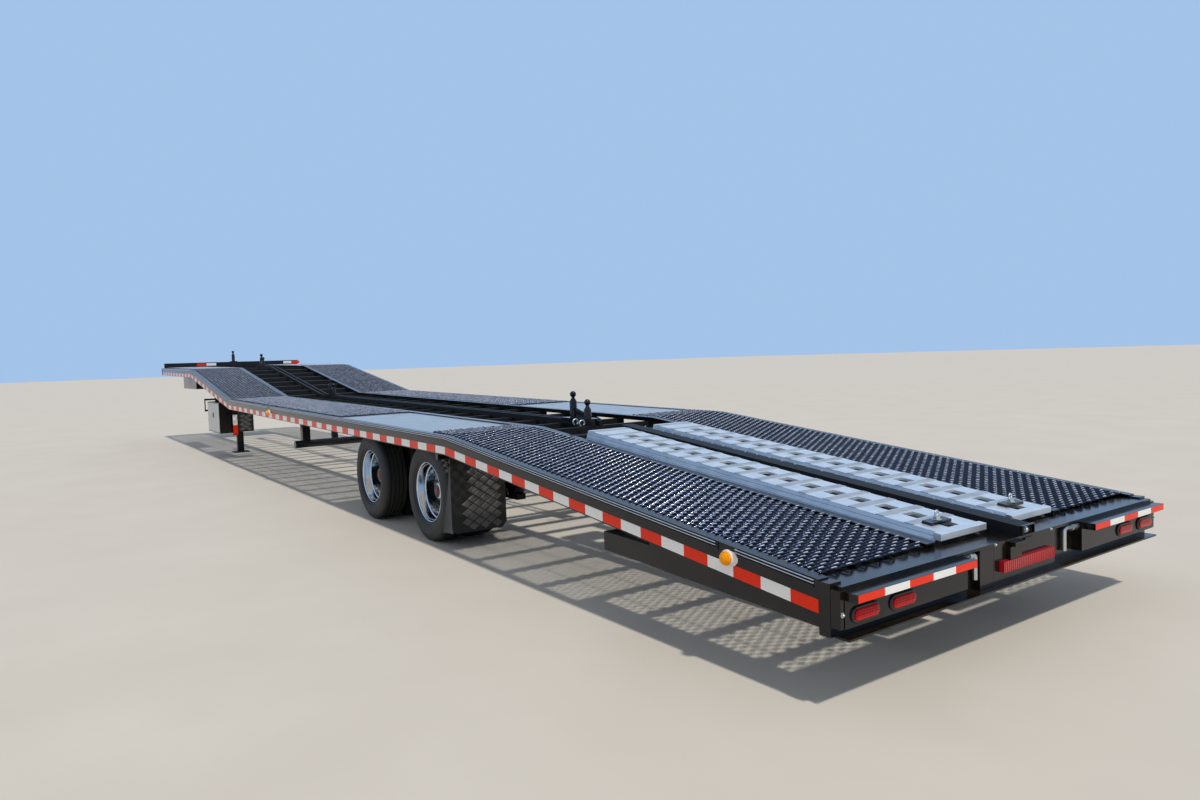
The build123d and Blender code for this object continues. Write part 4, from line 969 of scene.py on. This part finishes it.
hold_level = ramp_top(hold_run) + washer_rise
nut_height = 0.014
hold_nut = hex_nut(0.030, nut_height, 0.010, 0.004)
eye_radius, eye_bar = 0.011, 0.0045
eye_middle = hold_level + nut_height + eye_bar + eye_radius
pin_parts, washer_parts = ([], [], []), ([], [], [])
for side in (1, -1):
    elbow = [(0.396 - pin_bend * math.sin(turn), pin_level - pin_bend + pin_bend * math.cos(turn))
             for turn in turns(0, 91, 15)]
    pin = [(0.4868, pin_level), *elbow, (0.380, 0.340)]
    gather(pin_parts, bar([(pin_x, side * y, z) for y, z in pin], pin_radius))
    for ends in ((0.4866, 0.475), (0.440, 0.428)):
        gather(pin_parts, bar([(pin_x, side * y, pin_level) for y in ends], collar_radius, 24))
    post_bolt = hex_nut(0.014, 0.006, 0.004, 0.002)
    gather(pin_parts, rearward(post_bolt, rail_rear_x - 0.0441, side * 1.2785, 0.380))
    hold_x, hold_y = rail_rear_x + hold_run, side * hold_side
    gather(pin_parts, ([(hold_x + a, hold_y + b, hold_level + up) for a, b, up in hold_nut[0]], hold_nut[1]))
    eye = [(hold_x, hold_y + eye_radius * math.sin(turn), eye_middle - eye_radius * math.cos(turn))
           for turn in turns(0, 361, 20)]
    gather(pin_parts, bar(eye, eye_bar))
    gather(washer_parts, between_rings([
        [(hold_x + a * washer_run_half, hold_y + b * washer_side_half,
          ramp_top(hold_run + a * washer_run_half) + rise) for a, b in ((-1, -1), (1, -1), (1, 1), (-1, 1))]
        for rise in (0.0, washer_rise)]))
for y in (-0.210, 0.260):
    gather(pin_parts, rearward(hex_nut(0.010, 0.006, 0.003, 0.002), rail_rear_x - 0.0371, y, 0.4725))
pins = closed_piece("zinc_pins_and_bolts", pin_parts, [zinc_plate])
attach(pins, "chassis")
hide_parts("hold_pins")
washer_plates = closed_piece("ramp_washers", washer_parts, [black_enamel])
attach(washer_plates, "chassis")

# Ball posts: eight-sided steel posts with a turned neck and ball, welded in pairs to a flat
# plate with a gusset between them. Straps and hooks pull against them.
post_parts = ([], [], [])
post_radius = 0.030
neck_radius = 0.0135
ball_radius = 0.025
tall_post, short_post = 0.170, 0.112
plate_half = 0.070
plate_thick = 0.012
edge_ease = 0.001


def ball_post(run, base, height):
    """One post with bevelled foot, shoulder, neck and round ball."""
    centre = (rail_rear_x + run, 0.0)
    middle = base + height + 0.020
    foot = ((base, post_radius), (middle - 0.060, post_radius), (middle - 0.054, 0.028),
            (middle - 0.034, 0.0150), (middle - 0.026, neck_radius))
    gather(post_parts, between_rings([round_ring(radius, z, 8, centre, math.pi / 8) for z, radius in foot]))
    neck = [(middle - 0.034, neck_radius), (middle - 0.0214, 0.0130)]
    ball = [(middle + ball_radius * math.sin(turn), ball_radius * math.cos(turn))
            for turn in turns(-55, 90, 12)]
    gather(post_parts, between_rings([round_ring(radius, z, 24, centre) for z, radius in neck + ball]))


def cuboid(span_x, span_y, span_z):
    """Points and faces of a plain bar between two values on each axis, its edges eased a millimetre."""
    (x_a, x_b), (y_a, y_b), (z_a, z_b) = span_x, span_y, span_z
    rings = []
    for z, ease in ((z_a, edge_ease), (z_a + edge_ease, 0.0), (z_b - edge_ease, 0.0), (z_b, edge_ease)):
        cut = edge_ease + ease
        rings.append([(x, y, z) for x, y in (
            (x_a + cut, y_a + ease), (x_b - cut, y_a + ease),
            (x_b - ease, y_a + cut), (x_b - ease, y_b - cut),
            (x_b - cut, y_b - ease), (x_a + cut, y_b - ease),
            (x_a + ease, y_b - cut), (x_a + ease, y_a + cut))])
    return between_rings(rings)


for run, half_spacing, half_plate in ((3.500, 0.100, 0.170), (9.740, 0.060, 0.110), (13.630, 0.060, 0.110)):
    base = deck(run) + 0.0083
    tilt = (deck(run + half_plate) - deck(run - half_plate)) / 2
    gather(post_parts, between_rings([
        [(rail_rear_x + run + along * half_plate, across * plate_half, base + along * tilt + rise)
         for along, across in ((-1, -1), (1, -1), (1, 1), (-1, 1))] for rise in (0.0, plate_thick)]))
    tall, short = run + half_spacing, run - half_spacing
    ball_post(tall, deck(tall) + 0.014, tall_post)
    ball_post(short, deck(short) + 0.014, short_post)
    gusset = ((tall, 0.006), (tall, 0.100), (short + post_radius, 0.052), (short, 0.050), (short, 0.006))
    gather(post_parts, between_rings([
        [(rail_rear_x + at, y, base + rise) for at, rise in gusset] for y in (-0.006, 0.006)]))
nose_run = rail_length + 0.080
nose_base = 1.4713
gather(post_parts, cuboid(
    (rail_rear_x + nose_run - 0.030, rail_rear_x + nose_run + 0.030), (-plate_half, plate_half),
    (nose_base - plate_thick / 2, nose_base + plate_thick / 2)))
ball_post(nose_run, nose_base, tall_post)
posts = closed_piece("ball_post_pairs", post_parts, [black_enamel], 25)
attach(posts, "chassis")
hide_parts("ball_posts")

# Rail beads: the rolled rail has three ribs below its top edge. Round crowns on the upper two carry a
# pale metal colour, a painted highlight, and they stop short at the lamps and at the corner post.
# Painted highlight: pale metal on a round edge draws two thin light lines along each rail.
bead_highlight = mottled("bead_crowns_painted_highlight", {"Metallic": 0.6}, 20.0, 4.0,
                       ("#a6abb4", "#dfe3e8"), roughness=(0.22, 0.4))
bead_side, bead_reach, bead_half = 1.2905, 0.0065, 0.003
bead_parts = ([], [], [])
for side in (1, -1):
    for run_a, run_b in ((0.072, 0.475), (0.590, 7.870), (7.990, 15.930)):
        stops = [run_a] + [run for run, height in deck_line if run_a < run < run_b] + [run_b]
        for drop in (0.007, 0.019):
            gather(bead_parts, between_rings([
                [(rail_rear_x + run, side * (bead_side + bead_reach * math.sin(turn)),
                  deck(run) - drop + bead_half * math.cos(turn)) for turn in turns(0, 181, 20)]
                for run in stops]))
beads = closed_piece("rail_beads", bead_parts, [bead_highlight], 40)
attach(beads, "chassis")

# Tail centre: small plates and lugs of black steel round the open end of the centre box, with
# zinc bolts along the box's right edge and one in its end.
box_end = rail_rear_x - 0.035
frame_rear, frame_front = -0.047, -0.0351
plate_parts = ([], [], [])
for (rear, front), span_y, span_z in (
        ((frame_rear, frame_front), (-0.052, 0.052), (0.479, 0.484)),
        ((frame_rear, frame_front), (-0.052, 0.052), (0.520, 0.525)),
        ((frame_rear, frame_front), (-0.052, -0.047), (0.484, 0.520)),
        ((frame_rear, frame_front), (0.047, 0.052), (0.484, 0.520)),
        ((-0.062, -0.030), (0.050, 0.140), (0.448, 0.4668)),
        ((-0.042, -0.030), (-0.046, 0.022), (0.443, 0.4668)),
        ((-0.030, -0.002), (0.2601, 0.366), (0.2925, 0.4668)),
        ((-0.044, -0.0005), (1.2682, 1.2900), (0.3260, 0.4668)),
        ((-0.044, -0.0005), (-1.2900, -1.2682), (0.3260, 0.4668)),
        ((0.050, 0.098), (0.500, 1.286), (0.470, 0.4793)),
        ((0.050, 0.098), (-1.286, -0.500), (0.470, 0.4793)),
        ((-0.050, -0.030), (0.067, 0.159), (0.393, 0.4478))):
    gather(plate_parts, cuboid((rail_rear_x + rear, rail_rear_x + front), span_y, span_z))
fittings = closed_piece("tail_plates", plate_parts, [black_enamel])
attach(fittings, "chassis")

bolt_start, bolt_end = 0.050, 2.750
bolt = closed_piece("bolt", hex_nut(0.011, 0.006, 0.003, 0.002), [zinc_plate])
row = run_tree(bolt, deck_row, {
    "Count": 28, "Pitch": 0.1, "Start": (rail_rear_x + bolt_start, -0.043, deck(bolt_start) + 0.0381),
    "Slope": math.atan2(deck(bolt_end) - deck(bolt_start), bolt_end - bolt_start), "Finish": zinc_plate})
bolts = joined("centre_box_bolts", [row], zinc_plate)
end_bolt = closed_piece("centre_box_end_bolt", rearward(
    hex_nut(0.020, 0.008, 0.005, 0.003), box_end - 0.0001, 0.008, 0.502), [zinc_plate])
hook_parts = ([], [], [])
hook_radius, hook_bar = 0.022, 0.006
for run, y in ((3.350, 0.150), (3.225, 0.175)):
    curve = [(rail_rear_x + run, y + hook_radius * math.cos(turn),
              deck(run) + hook_bar + hook_radius * math.sin(turn)) for turn in turns(-60, 231, 15)]
    gather(hook_parts, bar(curve, hook_bar))
hooks = closed_piece("strap_hooks", hook_parts, [zinc_plate])
for piece in (bolts, end_bolt, hooks):
    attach(piece, "chassis")

# Tool box: a folded box of bare aluminium plate hung under the left beam, with a flat door in
# its outer side, closed by a round flush handle.
# Bare plate: rolled aluminium gone dull outdoors, pale against all the black round it.
bare_plate = mottled("weathered_bare_plate", {"Metallic": 0.7}, 8.0, 5.0,
                     ("#c9c4bb", "#e6e2da"), roughness=(0.4, 0.6))
box_low, box_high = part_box("tool_box_left")
door_margin = 0.020
handle_run, handle_level = 11.575, 0.640
door_parts = ([], [], [])
gather(door_parts, cuboid((box_low.x + door_margin, box_high.x - door_margin),
                          (box_high.y - 0.004, box_high.y + 0.003), (0.402, 0.815)), 0)
handle = ((0.0028, 0.0001), (0.0028, 0.045), (0.007, 0.043), (0.007, 0.033), (0.004, 0.030), (0.004, 0.0001))
gather(door_parts, turned([(box_high.y + out, radius) for out, radius in handle],
                          handle_run, handle_level, 32), 1)
door = closed_piece("tool_box_door", door_parts, [bare_plate, black_enamel])
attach(door, "chassis")
